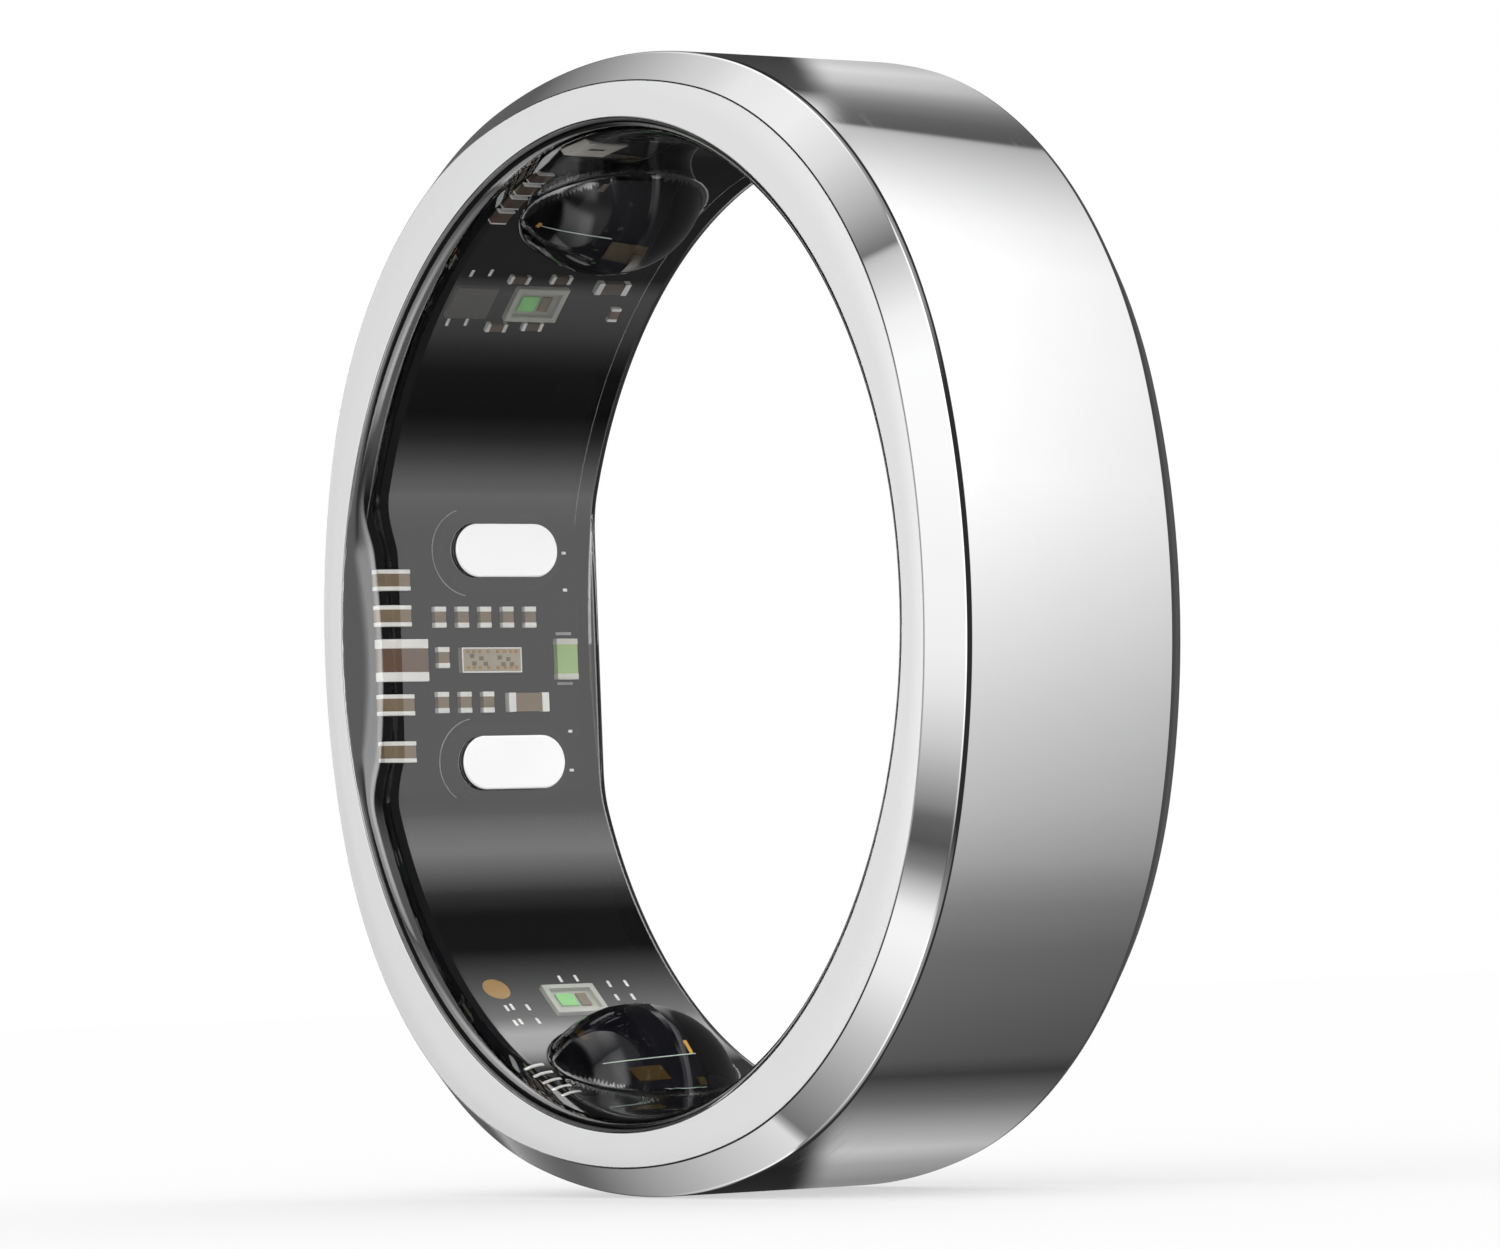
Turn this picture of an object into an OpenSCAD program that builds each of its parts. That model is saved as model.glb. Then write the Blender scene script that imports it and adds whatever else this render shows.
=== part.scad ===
// Smart ring, standing upright as worn: the ring's axis lies along Y, its front edge faces -Y,
// and the origin is the middle of the finger bore. Lengths are millimetres, angles are degrees.
// Angles round the ring start at +X and turn towards +Z, so the contacts sit at 180 degrees.

/* [Band] */
// Inside diameter of the round finger bore
bore_across = 21.8; // [20.5:0.1:24]
// Width of the ring along its axis
ring_width = 6.8; // [6.6:0.1:8]
// Thickness of the metal band
shell_wall = 0.55; // [0.4:0.05:0.8]
// Thickness of the two metal side walls
side_wall = 0.5; // [0.3:0.05:0.55]
// Width of the chamfer between band and side face
chamfer = 0.68; // [0.3:0.02:0.8]
// Radius that softens the edge between band and chamfer
band_edge_radius = 0.3; // [0.1:0.05:0.5]
// Radius that softens the edge between chamfer and side face
face_edge_radius = 0.1; // [0.04:0.02:0.2]

/* [Resin] */
// Clear resin over the circuit board
cover = 0.45; // [0.42:0.01:0.6]
// How far the metal rim stands back from the resin bore
rim_lip = 0.37; // [0.2:0.01:0.4]
// Radius of the rounded lip at the front of the flat
flat_lip_radius = 0.85; // [0.5:0.05:0.86]
// Radius of the small lip at the back, round the bore and on the flat
rear_lip_radius = 0.2; // [0.1:0.02:0.36]
// Height of the two sensor domes over the bore
dome_rise = 1.4; // [1:0.05:1.5]
// Radius of a sensor dome along the ring's axis
dome_radius = 2.62; // [2.5:0.02:3]
// Radius of a sensor dome round the ring
dome_long_radius = 2.12; // [2.04:0.02:2.4]
// Offset of the domes from the middle of the ring's width
dome_offset = 0.25; // [0:0.05:0.3]
// Angle of the upper sensor dome
upper_dome_angle = 114.5; // [113.5:0.1:115.5]
// Angle of the lower sensor dome
lower_dome_angle = 245.2; // [244.5:0.1:246.5]

/* [Battery] */
// Thickness of the curved battery cell
cell_thick = 0.7; // [0.5:0.05:1.2]
// Width of the battery cell along the ring's axis
cell_width = 4.7; // [3.5:0.1:5]
// Angle that the battery cell reaches to each side of its middle
cell_reach_angle = 70; // [55:1:71]
// Thickness of the tape that holds the cell to the band
tape_thick = 0.1; // [0.05:0.05:0.2]
// Potting left between the tape and the band
tape_gap = 0.05; // [0.02:0.01:0.1]

/* [Contacts] */
// Length of a charging contact along the ring's axis
contact_length = 2.86; // [2.4:0.02:3.2]
// Width of a charging contact
contact_width = 1.28; // [1:0.02:1.4]
// Distance between the middles of the two contacts
contact_spacing = 5.06; // [4.9:0.02:5.2]
// How far a contact stands out of the resin flat
contact_proud = 0.15; // [0.05:0.05:0.3]
// Offset of the contacts from the middle of the ring's width
contact_offset = 0.68; // [0:0.02:0.8]
// How far the middle of the contact pair sits below the middle of the ring
contact_drop = 0.08; // [0:0.01:0.15]
// How far the board's flat runs past each contact before it bends
flat_run = 0.226; // [0.2:0.002:0.3]
// Width of the dark collar left showing round a contact
collar_margin = 0.3; // [0.1:0.05:0.35]
// Thickness of that collar
collar_thick = 0.12; // [0.05:0.01:0.2]

/* [Board] */
// Thickness of the flexible circuit board
board_thick = 0.12; // [0.08:0.01:0.2]
// Clearance between the board's edges and the side walls
board_gap = 0.1; // [0.05:0.01:0.2]
// Angle at which the board starts, near the top
board_start_angle = 84; // [82:1:86]
// Angle at which the board ends, near the bottom
board_end_angle = 276; // [270:1:280]
// Solder left under each chip
solder = 0.02; // [0.01:0.01:0.03]

/* [Chips] */
// Length of a small capacitor's metal end
small_cap_end = 0.12; // [0.08:0.01:0.15]
// Length of the inductor's metal end
inductor_end = 0.24; // [0.15:0.01:0.3]
// Length of the large capacitor's metal end
bulk_cap_end = 0.2; // [0.12:0.01:0.25]
// Length of the chip antenna's metal end
antenna_end = 0.14; // [0.08:0.01:0.2]

/* [Sensors] */
// Wall of a light package
led_case_wall = 0.16; // [0.1:0.01:0.2]
// Floor of a light package
led_case_floor = 0.1; // [0.05:0.01:0.15]
// Height of the light dies in their package
led_die_high = 0.1; // [0.05:0.01:0.15]
// Angle of the upper light package
upper_led_angle = 133.1; // [132:0.1:134]
// Angle of the lower light package
lower_led_angle = 229; // [228:0.1:230]

/* [Hidden] */
$fn = 180;

// Overrun that carries a cut clear of the face it starts from
over = 1;

// Radii and planes that follow from the sizes above
bore_r = bore_across / 2;
rim_r = bore_r + rim_lip;
board_r = bore_r + cover;
cell_r = board_r + cell_thick;
tape_r = cell_r + tape_thick;
half_across = tape_r + tape_gap + shell_wall;
half_width = ring_width / 2;
channel_half = half_width - side_wall;
board_half = channel_half - board_gap;
flat_half = contact_spacing / 2 + contact_width / 2 + flat_run;
board_x = sqrt(board_r * board_r - flat_half * flat_half);
flat_x = board_x - cover;

// The outline is a square with bowed sides and round corners, drawn as tangent arcs
side_arc_share = 1.349;
corner_arc_share = 0.847;
side_arc = half_across * side_arc_share;
corner_arc = half_across * corner_arc_share;
side_back = side_arc - half_across;
arc_step = side_arc - corner_arc;
corner_at = (sqrt(2 * arc_step * arc_step - side_back * side_back) - side_back) / 2;
side_turn = atan2(corner_at, corner_at + side_back);
corner_reach = corner_at * sqrt(2) + corner_arc;
outline_depth = corner_reach - bore_r;

// Straight runs lost to the softened edges, on each side of a 135 degree corner
band_edge_run = band_edge_radius * tan(22.5);
face_edge_run = face_edge_radius * tan(22.5);
edge_steps = 4;

// Chips: length between the metal ends, or round the ring, then width, then height
small_cap = [0.5, 0.32, 0.25];
edge_cap = [0.5, 0.86, 0.25];
upper_edge_cap = [0.5, 0.42, 0.25];
inductor = [1.0, 1.28, 0.3];
bulk_cap = [1.14, 0.46, 0.3];
signal_chip_size = [0.6, 1.68, 0.28];
antenna = [0.98, 0.6, 0.28];
led_case = [1.02, 1.44, 0.3];
photodiode = [2.3, 1.9, 0.26];
light_sensor_size = [1.1, 1.05, 0.28];
power_chip_size = [0.94, 1.12, 0.26];

// Ends of the pieces that carry current from the cell to the board
tab_reach_angle = 5;
tab_thick = 0.1;
tab_width = 0.9;
tab_offset_share = 0.5;
protection_reach_angle = 7;
protection_chip = [0.5, 0.9, 0.2];
protection_chip_shares = [-0.62, 0, 0.62];

// Chips hidden between the board and the band
processor = [2.4, 2.4, 0.4];
processor_angle = 148;
motion = [1.8, 2.0, 0.4];
motion_angle = 208;
charger = [1.4, 1.5, 0.4];
crystal_size = [1.2, 1.0, 0.3];
crystal_angle = 161;
crystal_along_share = -0.5;

// Rows of small capacitors: up as shares of the contact spacing, along as shares of the board
first_row_up_share = 0.172;
second_row_up_share = -0.018;
third_row_up_share = -0.229;
row_start_share = -0.395;
row_pitch_share = 0.2268;
row_single_share = -0.375;
third_row_count = 3;
first_row_count = 5;
edge_cap_up_shares = [0.346, 0.178, -0.239, -0.459];
edge_cap_along_share = -0.836;
inductor_up_share = -0.03;
inductor_along_share = -0.757;
bulk_up_share = -0.231;
bulk_along_share = 0.46;
signal_up_share = -0.031;
signal_along_share = 0.1;
antenna_up_share = -0.028;
antenna_along_share = 0.87;

// Bond pads on the signal chip, as shares of its own length and width
bond_pad = [0.1, 0.1, 0.02];
bond_along_shares = [-0.38, -0.22, -0.06, 0.12, 0.28, 0.4];
bond_up_shares = [-0.3, 0.28];

// Parts round the upper light package: an angle, and a share of the board's half width
sensor_cap = [0.24, 0.56, 0.2];
sensor_cap_end = 0.1;
sensor_cap_shares = [[129.3, -0.28], [129.1, 0.13], [137, -0.28], [136.7, 0.07]];
upper_edge_cap_shares = [[117.6, -0.86], [114.4, -0.86], [111.2, -0.86], [108, -0.86]];
supply_cap = [0.36, 0.9, 0.3];
supply_cap_end = 0.16;
supply_cap_angle = 130.1;
supply_cap_share = 0.67;
resistor = [0.4, 0.26, 0.2];
resistor_end = 0.08;
resistor_angle = 134.5;
resistor_share = 0.83;
power_chip_angle = 133.1;
power_chip_share = -0.64;
lower_led_share = 0.06;

// Light dies and photodiode pads, in shares of the package or the photodiode
green_die_shares = [0.62, 0.42];
green_die_shift_share = -0.2;
red_die_shares = [0.62, 0.24];
red_die_shift_share = 0.22;
diode_pad = [0.3, 0.16, 0.03];
diode_pad_shares = [[-0.38, -0.4], [0.38, 0.4]];

// Parts near the top of the board
light_sensor_angle = 97;
light_sensor_share = -0.8;
window_shares = [0.16, 0.42, 0.1];
temperature = [0.8, 0.9, 0.28];
temperature_angle = 95.5;
temperature_share = 0.2;

// Bare pads and solder bars on the board: an angle or an up share, and an along share
pad_high = 0.03;
board_pad = [0.22, 0.08];
via_pad = [0.07, 0.12];
via_gap = 0.045;
via_up_shares = [0.478, 0.302, -0.37, -0.556];
antenna_pad = [0.07, 0.44];
antenna_pad_up_shares = [0.094, -0.143];
upper_pad_shares = [[128.7, -0.76], [128.5, -0.58], [136.6, -0.76], [136.5, -0.58]];
lower_pad_shares = [
    [229.7, -0.63], [229.5, -0.57], [229.7, -0.42], [232.6, -0.65], [232.4, -0.59],
    [232.4, -0.42], [224.8, 0.07], [224.8, 0.23], [226, 0.52], [226, 0.69],
    [228.5, 0.51], [228.5, 0.67]
];
gold_pad_across = 0.7;
gold_pad_angle = 226.2;
gold_pad_share = -0.61;
solder_bar = [0.1, 0.42, 0.3];
solder_bar_angles = [243, 245.1, 247.2, 249.4, 251.6];
solder_bar_share = -0.87;

// A point on an arc, and the points of a whole arc
function arc_point(middle, radius, angle) = middle + radius * [cos(angle), sin(angle)];
function arc_points(middle, radius, from, to) =
    [for (step = [0:edge_steps]) arc_point(middle, radius, from + (to - from) * step / edge_steps)];

// How far a chip's ends lift it off the curved board
function chord_r(radius, long) = sqrt(radius * radius - long * long / 4);

// Half of the band's outer edge: x is the distance in from the outline, y the height
function edge_points() = concat(
    arc_points([-band_edge_radius, half_width - chamfer - band_edge_run], band_edge_radius, 0, 45),
    arc_points([-chamfer - face_edge_run, half_width - face_edge_radius], face_edge_radius, 45, 90)
);
function mirrored(points) =
    [for (step = [len(points) - 1:-1:0]) [points[step][0], -points[step][1]]];

// Points of an eased lip: straight out past the side face, then a quarter round inwards
function lip_points(radius, outer) = concat(
    [[outer, half_width + over]],
    [for (step = [0:2 * edge_steps])
        [outer - radius * sin(90 * step / (2 * edge_steps)),
         half_width - radius * (1 - cos(90 * step / (2 * edge_steps)))]]
);

// Stand the ring up: heights along the axis become distances towards the front
module upright() {
    rotate([90, 0, 0]) children();
}

// Carry a cross-section round the outline; x is the distance out from it
module round_outline() {
    for (quarter = [0:3]) {
        rotate([0, 0, 90 * quarter]) {
            translate([-side_back, 0, 0])
                rotate_extrude(angle = 2 * side_turn, start = -side_turn)
                    translate([side_arc, 0]) children();
            translate([corner_at, corner_at, 0])
                rotate_extrude(angle = 90 - 2 * side_turn, start = side_turn)
                    translate([corner_arc, 0]) children();
        }
    }
}

// A slice of the ring between two angles, as a wedge for cutting
module wedge(from, to) {
    reach = half_across * 2;
    steps = 8;
    linear_extrude(height = ring_width + 2 * over, center = true)
        polygon(concat([[0, 0]],
            [for (step = [0:steps]) arc_point([0, 0], reach, from + (to - from) * step / steps)]));
}

// A band between two radii and two angles, centred on the ring's width
module curved_band(inner, outer, wide, from, to) {
    rotate_extrude(angle = to - from, start = from)
        translate([inner, -wide / 2]) square([outer - inner, wide]);
}

// A round plate whose left side is cut flat
module flatted_disc(radius, flat, high) {
    linear_extrude(height = high, center = true)
        intersection() {
            circle(r = radius);
            translate([-flat, -radius - over]) square([flat + radius + over, 2 * (radius + over)]);
        }
}

// Place a chip on the board's round face: Z points at the ring's axis, Y along it
module on_board(angle, along_share, long) {
    seat = chord_r(board_r, long) - solder;
    translate([seat * cos(angle), along_share * board_half, seat * sin(angle)])
        rotate([0, -90 - angle, 0]) children();
}

// Place a chip on the board's flat face
module on_flat(up_share, along_share) {
    translate([-(board_x - solder), along_share * board_half, up_share * contact_spacing])
        rotate([0, 90, 0]) children();
}

// Place a chip on the board's back, round the bend
module behind_board(angle, along_share) {
    seat = board_r + board_thick + solder;
    translate([seat * cos(angle), along_share * board_half, seat * sin(angle)])
        rotate([0, 90 - angle, 0]) children();
}

// A plain block standing on its seat
module block(size) {
    translate([-size[0] / 2, -size[1] / 2, 0]) cube(size);
}

// The middle of a chip whose metal ends face along X
module between_ends(size, end) {
    block([size[0] - 2 * end, size[1], size[2]]);
}

// The two metal ends of such a chip
module metal_ends(size, end) {
    for (side = [-1, 1])
        translate([side * (size[0] - end) / 2, 0, 0]) block([end, size[1], size[2]]);
}

// The room that a chip takes out of what is cast over it
module pocket(size) {
    translate([0, 0, -cover / 4]) block([size[0], size[1], size[2] + cover / 4]);
}

// A flat pill with round ends, long along Y
module pill(long, wide, high) {
    linear_extrude(height = high)
        union() {
            square([wide, long - wide], center = true);
            for (side = [-1, 1])
                translate([0, side * (long - wide) / 2]) circle(d = wide);
        }
}

// Where each kind of chip stands

module small_cap_places() {
    for (place = [0:first_row_count - 1])
        on_flat(first_row_up_share, row_start_share + place * row_pitch_share) children();
    on_flat(second_row_up_share, row_single_share) children();
    for (place = [0:third_row_count - 1])
        on_flat(third_row_up_share, row_start_share + place * row_pitch_share) children();
}

module edge_cap_places() {
    for (up_share = edge_cap_up_shares)
        on_flat(up_share, edge_cap_along_share) children();
}

module upper_edge_cap_places() {
    for (place = upper_edge_cap_shares)
        on_board(place[0], place[1], upper_edge_cap[0]) children();
}

module inductor_place() {
    on_flat(inductor_up_share, inductor_along_share) children();
}

module bulk_cap_place() {
    on_flat(bulk_up_share, bulk_along_share) rotate([0, 0, 90]) children();
}

module signal_place() {
    on_flat(signal_up_share, signal_along_share) children();
}

module antenna_place() {
    on_flat(antenna_up_share, antenna_along_share) children();
}

module sensor_cap_places() {
    for (place = sensor_cap_shares)
        on_board(place[0], place[1], sensor_cap[0]) rotate([0, 0, 90]) children();
}

module supply_cap_place() {
    on_board(supply_cap_angle, supply_cap_share, supply_cap[0]) rotate([0, 0, 90]) children();
}

module resistor_place() {
    on_board(resistor_angle, resistor_share, resistor[0]) children();
}

module power_chip_place() {
    on_board(power_chip_angle, power_chip_share, power_chip_size[0]) children();
}

module upper_led_place() {
    on_board(upper_led_angle, 0, led_case[0]) children();
}

module lower_led_place() {
    on_board(lower_led_angle, lower_led_share, led_case[0]) children();
}

module upper_diode_place() {
    on_board(upper_dome_angle, dome_offset / board_half, photodiode[0]) children();
}

module lower_diode_place() {
    on_board(lower_dome_angle, dome_offset / board_half, photodiode[0]) children();
}

module light_sensor_place() {
    on_board(light_sensor_angle, light_sensor_share, light_sensor_size[0]) children();
}

module temperature_place() {
    on_board(temperature_angle, temperature_share, temperature[0]) children();
}

module bar_places() {
    for (angle = solder_bar_angles)
        on_board(angle, solder_bar_share, solder_bar[0]) children();
}

module round_pad_places() {
    for (place = concat(upper_pad_shares, lower_pad_shares))
        on_board(place[0], place[1], board_pad[0]) children();
}

module flat_pad_places() {
    along = contact_offset + contact_length / 2 + collar_margin + via_gap + via_pad[1] / 2;
    for (up_share = via_up_shares)
        on_flat(up_share, along / board_half) children();
}

module antenna_pad_places() {
    for (up_share = antenna_pad_up_shares)
        on_flat(up_share, antenna_along_share) children();
}

module gold_pad_place() {
    on_board(gold_pad_angle, gold_pad_share, gold_pad_across) children();
}

module contact_place(side) {
    translate([-board_x, contact_offset, side * contact_spacing / 2 - contact_drop])
        rotate([0, 90, 0]) children();
}

// Sizes turned a quarter, for chips whose metal ends face along the ring's axis
sensor_cap_turned = [sensor_cap[1], sensor_cap[0], sensor_cap[2]];
supply_cap_turned = [supply_cap[1], supply_cap[0], supply_cap[2]];

// Everything that stands in the clear resin, as one cutting shape
module chip_pockets() {
    small_cap_places() pocket(small_cap);
    edge_cap_places() pocket(edge_cap);
    upper_edge_cap_places() pocket(upper_edge_cap);
    inductor_place() pocket(inductor);
    bulk_cap_place() pocket(bulk_cap);
    signal_place() pocket([signal_chip_size[0], signal_chip_size[1], signal_chip_size[2] + bond_pad[2]]);
    antenna_place() pocket(antenna);
    sensor_cap_places() pocket(sensor_cap_turned);
    supply_cap_place() pocket(supply_cap_turned);
    resistor_place() pocket(resistor);
    power_chip_place() pocket(power_chip_size);
    upper_led_place() pocket(led_case);
    lower_led_place() pocket(led_case);
    upper_diode_place() pocket([photodiode[0], photodiode[1], photodiode[2] + diode_pad[2]]);
    lower_diode_place() pocket([photodiode[0], photodiode[1], photodiode[2] + diode_pad[2]]);
    light_sensor_place() pocket(light_sensor_size);
    temperature_place() pocket(temperature);
    bar_places() pocket(solder_bar);
    round_pad_places() pocket([board_pad[0], board_pad[1], pad_high]);
    flat_pad_places() pocket([via_pad[0], via_pad[1], pad_high]);
    antenna_pad_places() pocket([antenna_pad[0], antenna_pad[1], pad_high]);
    gold_pad_place() pocket([gold_pad_across, gold_pad_across, pad_high]);
    for (side = [-1, 1])
        contact_place(side) {
            pill(contact_length, contact_width, cover + over);
            pill(contact_length + 2 * collar_margin, contact_width + 2 * collar_margin, collar_thick);
        }
}

// The void that the finger fills: a round bore with eased lips and one flat side
module finger_void() {
    front = lip_points(rim_lip, rim_r);
    rear = mirrored(lip_points(rear_lip_radius, bore_r + rear_lip_radius));
    flat_rear = lip_points(rear_lip_radius, flat_x + rear_lip_radius);
    flat_front = mirrored(lip_points(flat_lip_radius, flat_x + flat_lip_radius));
    intersection() {
        upright() rotate_extrude() polygon(concat([[0, half_width + over]], front, rear,
            [[0, -half_width - over]]));
        linear_extrude(height = 2 * (rim_r + over), center = true)
            polygon(concat([[half_across, half_width + over]],
                [for (point = flat_rear) [-point[0], point[1]]],
                [for (point = flat_front) [-point[0], point[1]]],
                [[half_across, -half_width - over]]));
    }
}

// One sensor dome, cut to the resin so that it rises from the wall
module dome(angle) {
    axis_r = bore_r - dome_rise + dome_long_radius;
    root = max(0, dome_long_radius - dome_rise - cover);
    intersection() {
        rotate([0, 0, angle])
            translate([axis_r, 0, -dome_offset])
                rotate_extrude(angle = 180, start = 90)
                    intersection() {
                        translate([dome_long_radius - dome_radius, 0]) circle(r = dome_radius);
                        translate([root, -dome_radius]) square([dome_rise + cover + over, 2 * dome_radius]);
                    }
        cylinder(r = bore_r + cover / 2, h = ring_width, center = true);
    }
}

module outer_shell() {
    color("silver") upright() difference() {
        round_outline()
            polygon(concat([[-outline_depth, half_width]], [[-outline_depth, -half_width]],
                mirrored(edge_points()), edge_points()));
        cylinder(r = rim_r, h = ring_width + 2 * over, center = true);
        round_outline()
            translate([-outline_depth, -channel_half])
                square([outline_depth - shell_wall, 2 * channel_half]);
    }
}

module clear_resin() {
    color("lightsteelblue", 0.4) difference() {
        union() {
            difference() {
                upright() union() {
                    cylinder(r = rim_r, h = ring_width, center = true);
                    cylinder(r = board_r, h = 2 * channel_half, center = true);
                }
                finger_void();
            }
            upright() dome(upper_dome_angle);
            upright() dome(lower_dome_angle);
        }
        translate([-board_x - half_across, -channel_half, -half_across])
            cube([half_across, 2 * channel_half, 2 * half_across]);
        chip_pockets();
    }
}

module black_potting() {
    color("black") difference() {
        upright() difference() {
            round_outline()
                translate([-outline_depth, -channel_half])
                    square([outline_depth - shell_wall, 2 * channel_half]);
            flatted_disc(board_r, board_x, ring_width);
        }
        board_shape();
        battery_shape();
        back_chips();
    }
}

module board_shape() {
    upright() intersection() {
        difference() {
            flatted_disc(board_r + board_thick, board_x + board_thick, 2 * board_half);
            flatted_disc(board_r, board_x, ring_width);
        }
        wedge(board_start_angle, board_end_angle);
    }
}

module flex_board() {
    color("dimgray") board_shape();
}

// The cell, its tape, its tabs and its protection board, as one cutting shape
module battery_shape() {
    battery_cell();
    battery_tape();
    battery_tabs();
    protection_board();
    protection_chips();
    bridge_strips();
}

module battery_cell() {
    color("slategray") upright()
        curved_band(board_r, cell_r, cell_width, -cell_reach_angle, cell_reach_angle);
}

module battery_tape() {
    color("khaki") upright()
        curved_band(cell_r, tape_r, cell_width, -cell_reach_angle, cell_reach_angle);
}

module battery_tabs() {
    color("gainsboro") upright()
        for (side = [-1, 1])
            translate([0, 0, side * tab_offset_share * board_half])
                curved_band(board_r, board_r + tab_thick, tab_width, cell_reach_angle, cell_reach_angle + tab_reach_angle);
}

module protection_board() {
    start = cell_reach_angle + tab_reach_angle;
    color("darkgreen") upright()
        curved_band(board_r, board_r + board_thick, 2 * board_half, start, start + protection_reach_angle);
}

module protection_chips() {
    color("darkslategray")
        for (share = protection_chip_shares)
            behind_board(cell_reach_angle + tab_reach_angle + protection_reach_angle / 4, share) block(protection_chip);
}

module bridge_strips() {
    seam = cell_reach_angle + tab_reach_angle + protection_reach_angle;
    color("goldenrod") upright()
        for (side = [-1, 1])
            translate([0, 0, side * tab_offset_share * board_half])
                curved_band(board_r + board_thick, board_r + board_thick + tab_thick, tab_width,
                    seam - protection_reach_angle / 4, board_start_angle + protection_reach_angle / 4);
}

module contact(side) {
    contact_place(side) pill(contact_length, contact_width, cover + contact_proud);
}

module upper_contact() {
    color("white") contact(1);
}

module lower_contact() {
    color("white") contact(-1);
}

module contact_collars() {
    color("black")
        for (side = [-1, 1])
            contact_place(side) difference() {
                pill(contact_length + 2 * collar_margin, contact_width + 2 * collar_margin, collar_thick);
                translate([0, 0, -over]) pill(contact_length, contact_width, collar_thick + 2 * over);
            }
}

module small_capacitor_bodies() {
    color("tan") small_cap_places() between_ends(small_cap, small_cap_end);
}

module small_capacitor_ends() {
    color("silver") small_cap_places() metal_ends(small_cap, small_cap_end);
}

module edge_capacitor_bodies() {
    color("tan") {
        edge_cap_places() between_ends(edge_cap, small_cap_end);
        upper_edge_cap_places() between_ends(upper_edge_cap, small_cap_end);
    }
}

module edge_capacitor_ends() {
    color("silver") {
        edge_cap_places() metal_ends(edge_cap, small_cap_end);
        upper_edge_cap_places() metal_ends(upper_edge_cap, small_cap_end);
    }
}

module power_inductor() {
    color("sienna") inductor_place() between_ends(inductor, inductor_end);
}

module power_inductor_ends() {
    color("silver") inductor_place() metal_ends(inductor, inductor_end);
}

module bulk_capacitor() {
    color("tan") bulk_cap_place() between_ends(bulk_cap, bulk_cap_end);
}

module bulk_capacitor_ends() {
    color("silver") bulk_cap_place() metal_ends(bulk_cap, bulk_cap_end);
}

module signal_chip() {
    color("gray") signal_place() block(signal_chip_size);
}

module signal_chip_pads() {
    color("gold") signal_place()
        for (up_share = bond_up_shares, along_share = bond_along_shares)
            translate([up_share * signal_chip_size[0], along_share * signal_chip_size[1],
                       signal_chip_size[2]])
                block(bond_pad);
}

module chip_antenna() {
    color("darkseagreen") antenna_place() between_ends(antenna, antenna_end);
}

module chip_antenna_ends() {
    color("white") antenna_place() metal_ends(antenna, antenna_end);
}

module sensor_capacitor_bodies() {
    color("sienna") sensor_cap_places() between_ends(sensor_cap_turned, sensor_cap_end);
}

module sensor_capacitor_ends() {
    color("silver") sensor_cap_places() metal_ends(sensor_cap_turned, sensor_cap_end);
}

module supply_capacitor() {
    color("sienna") supply_cap_place() between_ends(supply_cap_turned, supply_cap_end);
}

module supply_capacitor_ends() {
    color("silver") supply_cap_place() metal_ends(supply_cap_turned, supply_cap_end);
}

module sense_resistor() {
    color("firebrick") resistor_place() between_ends(resistor, resistor_end);
}

module sense_resistor_ends() {
    color("silver") resistor_place() metal_ends(resistor, resistor_end);
}

module power_chip() {
    color("gray") power_chip_place() block(power_chip_size);
}

// An open tray that holds the light dies
module led_tray() {
    difference() {
        block(led_case);
        translate([0, 0, led_case_floor])
            block([led_case[0] - 2 * led_case_wall, led_case[1] - 2 * led_case_wall, led_case[2]]);
    }
}

// The light dies inside the tray
module led_dies() {
    inside = [led_case[0] - 2 * led_case_wall, led_case[1] - 2 * led_case_wall];
    translate([0, green_die_shift_share * inside[1], led_case_floor])
        block([green_die_shares[0] * inside[0], green_die_shares[1] * inside[1], led_die_high]);
    translate([0, red_die_shift_share * inside[1], led_case_floor])
        block([red_die_shares[0] * inside[0], red_die_shares[1] * inside[1], led_die_high]);
}

module upper_led_package() {
    color("whitesmoke") upper_led_place() led_tray();
}

module lower_led_package() {
    color("whitesmoke") lower_led_place() led_tray();
}

module upper_led_dies() {
    color("limegreen") upper_led_place() led_dies();
}

module lower_led_dies() {
    color("limegreen") lower_led_place() led_dies();
}

module upper_photodiode() {
    color("midnightblue") upper_diode_place() block(photodiode);
}

module lower_photodiode() {
    color("midnightblue") lower_diode_place() block(photodiode);
}

module diode_pads() {
    for (place = diode_pad_shares)
        translate([place[0] * photodiode[0], place[1] * photodiode[1], photodiode[2]]) block(diode_pad);
}

module photodiode_pads() {
    color("gold") {
        upper_diode_place() diode_pads();
        lower_diode_place() diode_pads();
    }
}

// The room for the dark window in the top of the surface sensor
module window_shape() {
    translate([0, 0, light_sensor_size[2] * (1 - window_shares[2])])
        block([light_sensor_size[0] * window_shares[0], light_sensor_size[1] * window_shares[1],
               light_sensor_size[2] * window_shares[2]]);
}

module surface_sensor() {
    color("gainsboro") light_sensor_place() difference() {
        block(light_sensor_size);
        window_shape();
    }
}

module surface_sensor_window() {
    color("black") light_sensor_place() window_shape();
}

module temperature_chip() {
    color("darkslategray") temperature_place() block(temperature);
}

module processor_chip() {
    color("black") behind_board(processor_angle, 0) block(processor);
}

module motion_chip() {
    color("black") behind_board(motion_angle, 0) block(motion);
}

module charger_chip() {
    color("black")
        translate([-(board_x + board_thick + solder), 0, 0]) rotate([0, -90, 0]) block(charger);
}

module crystal() {
    color("silver") behind_board(crystal_angle, crystal_along_share) block(crystal_size);
}

// Everything that stands on the board's back, as one cutting shape
module back_chips() {
    processor_chip();
    motion_chip();
    charger_chip();
    crystal();
}

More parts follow.
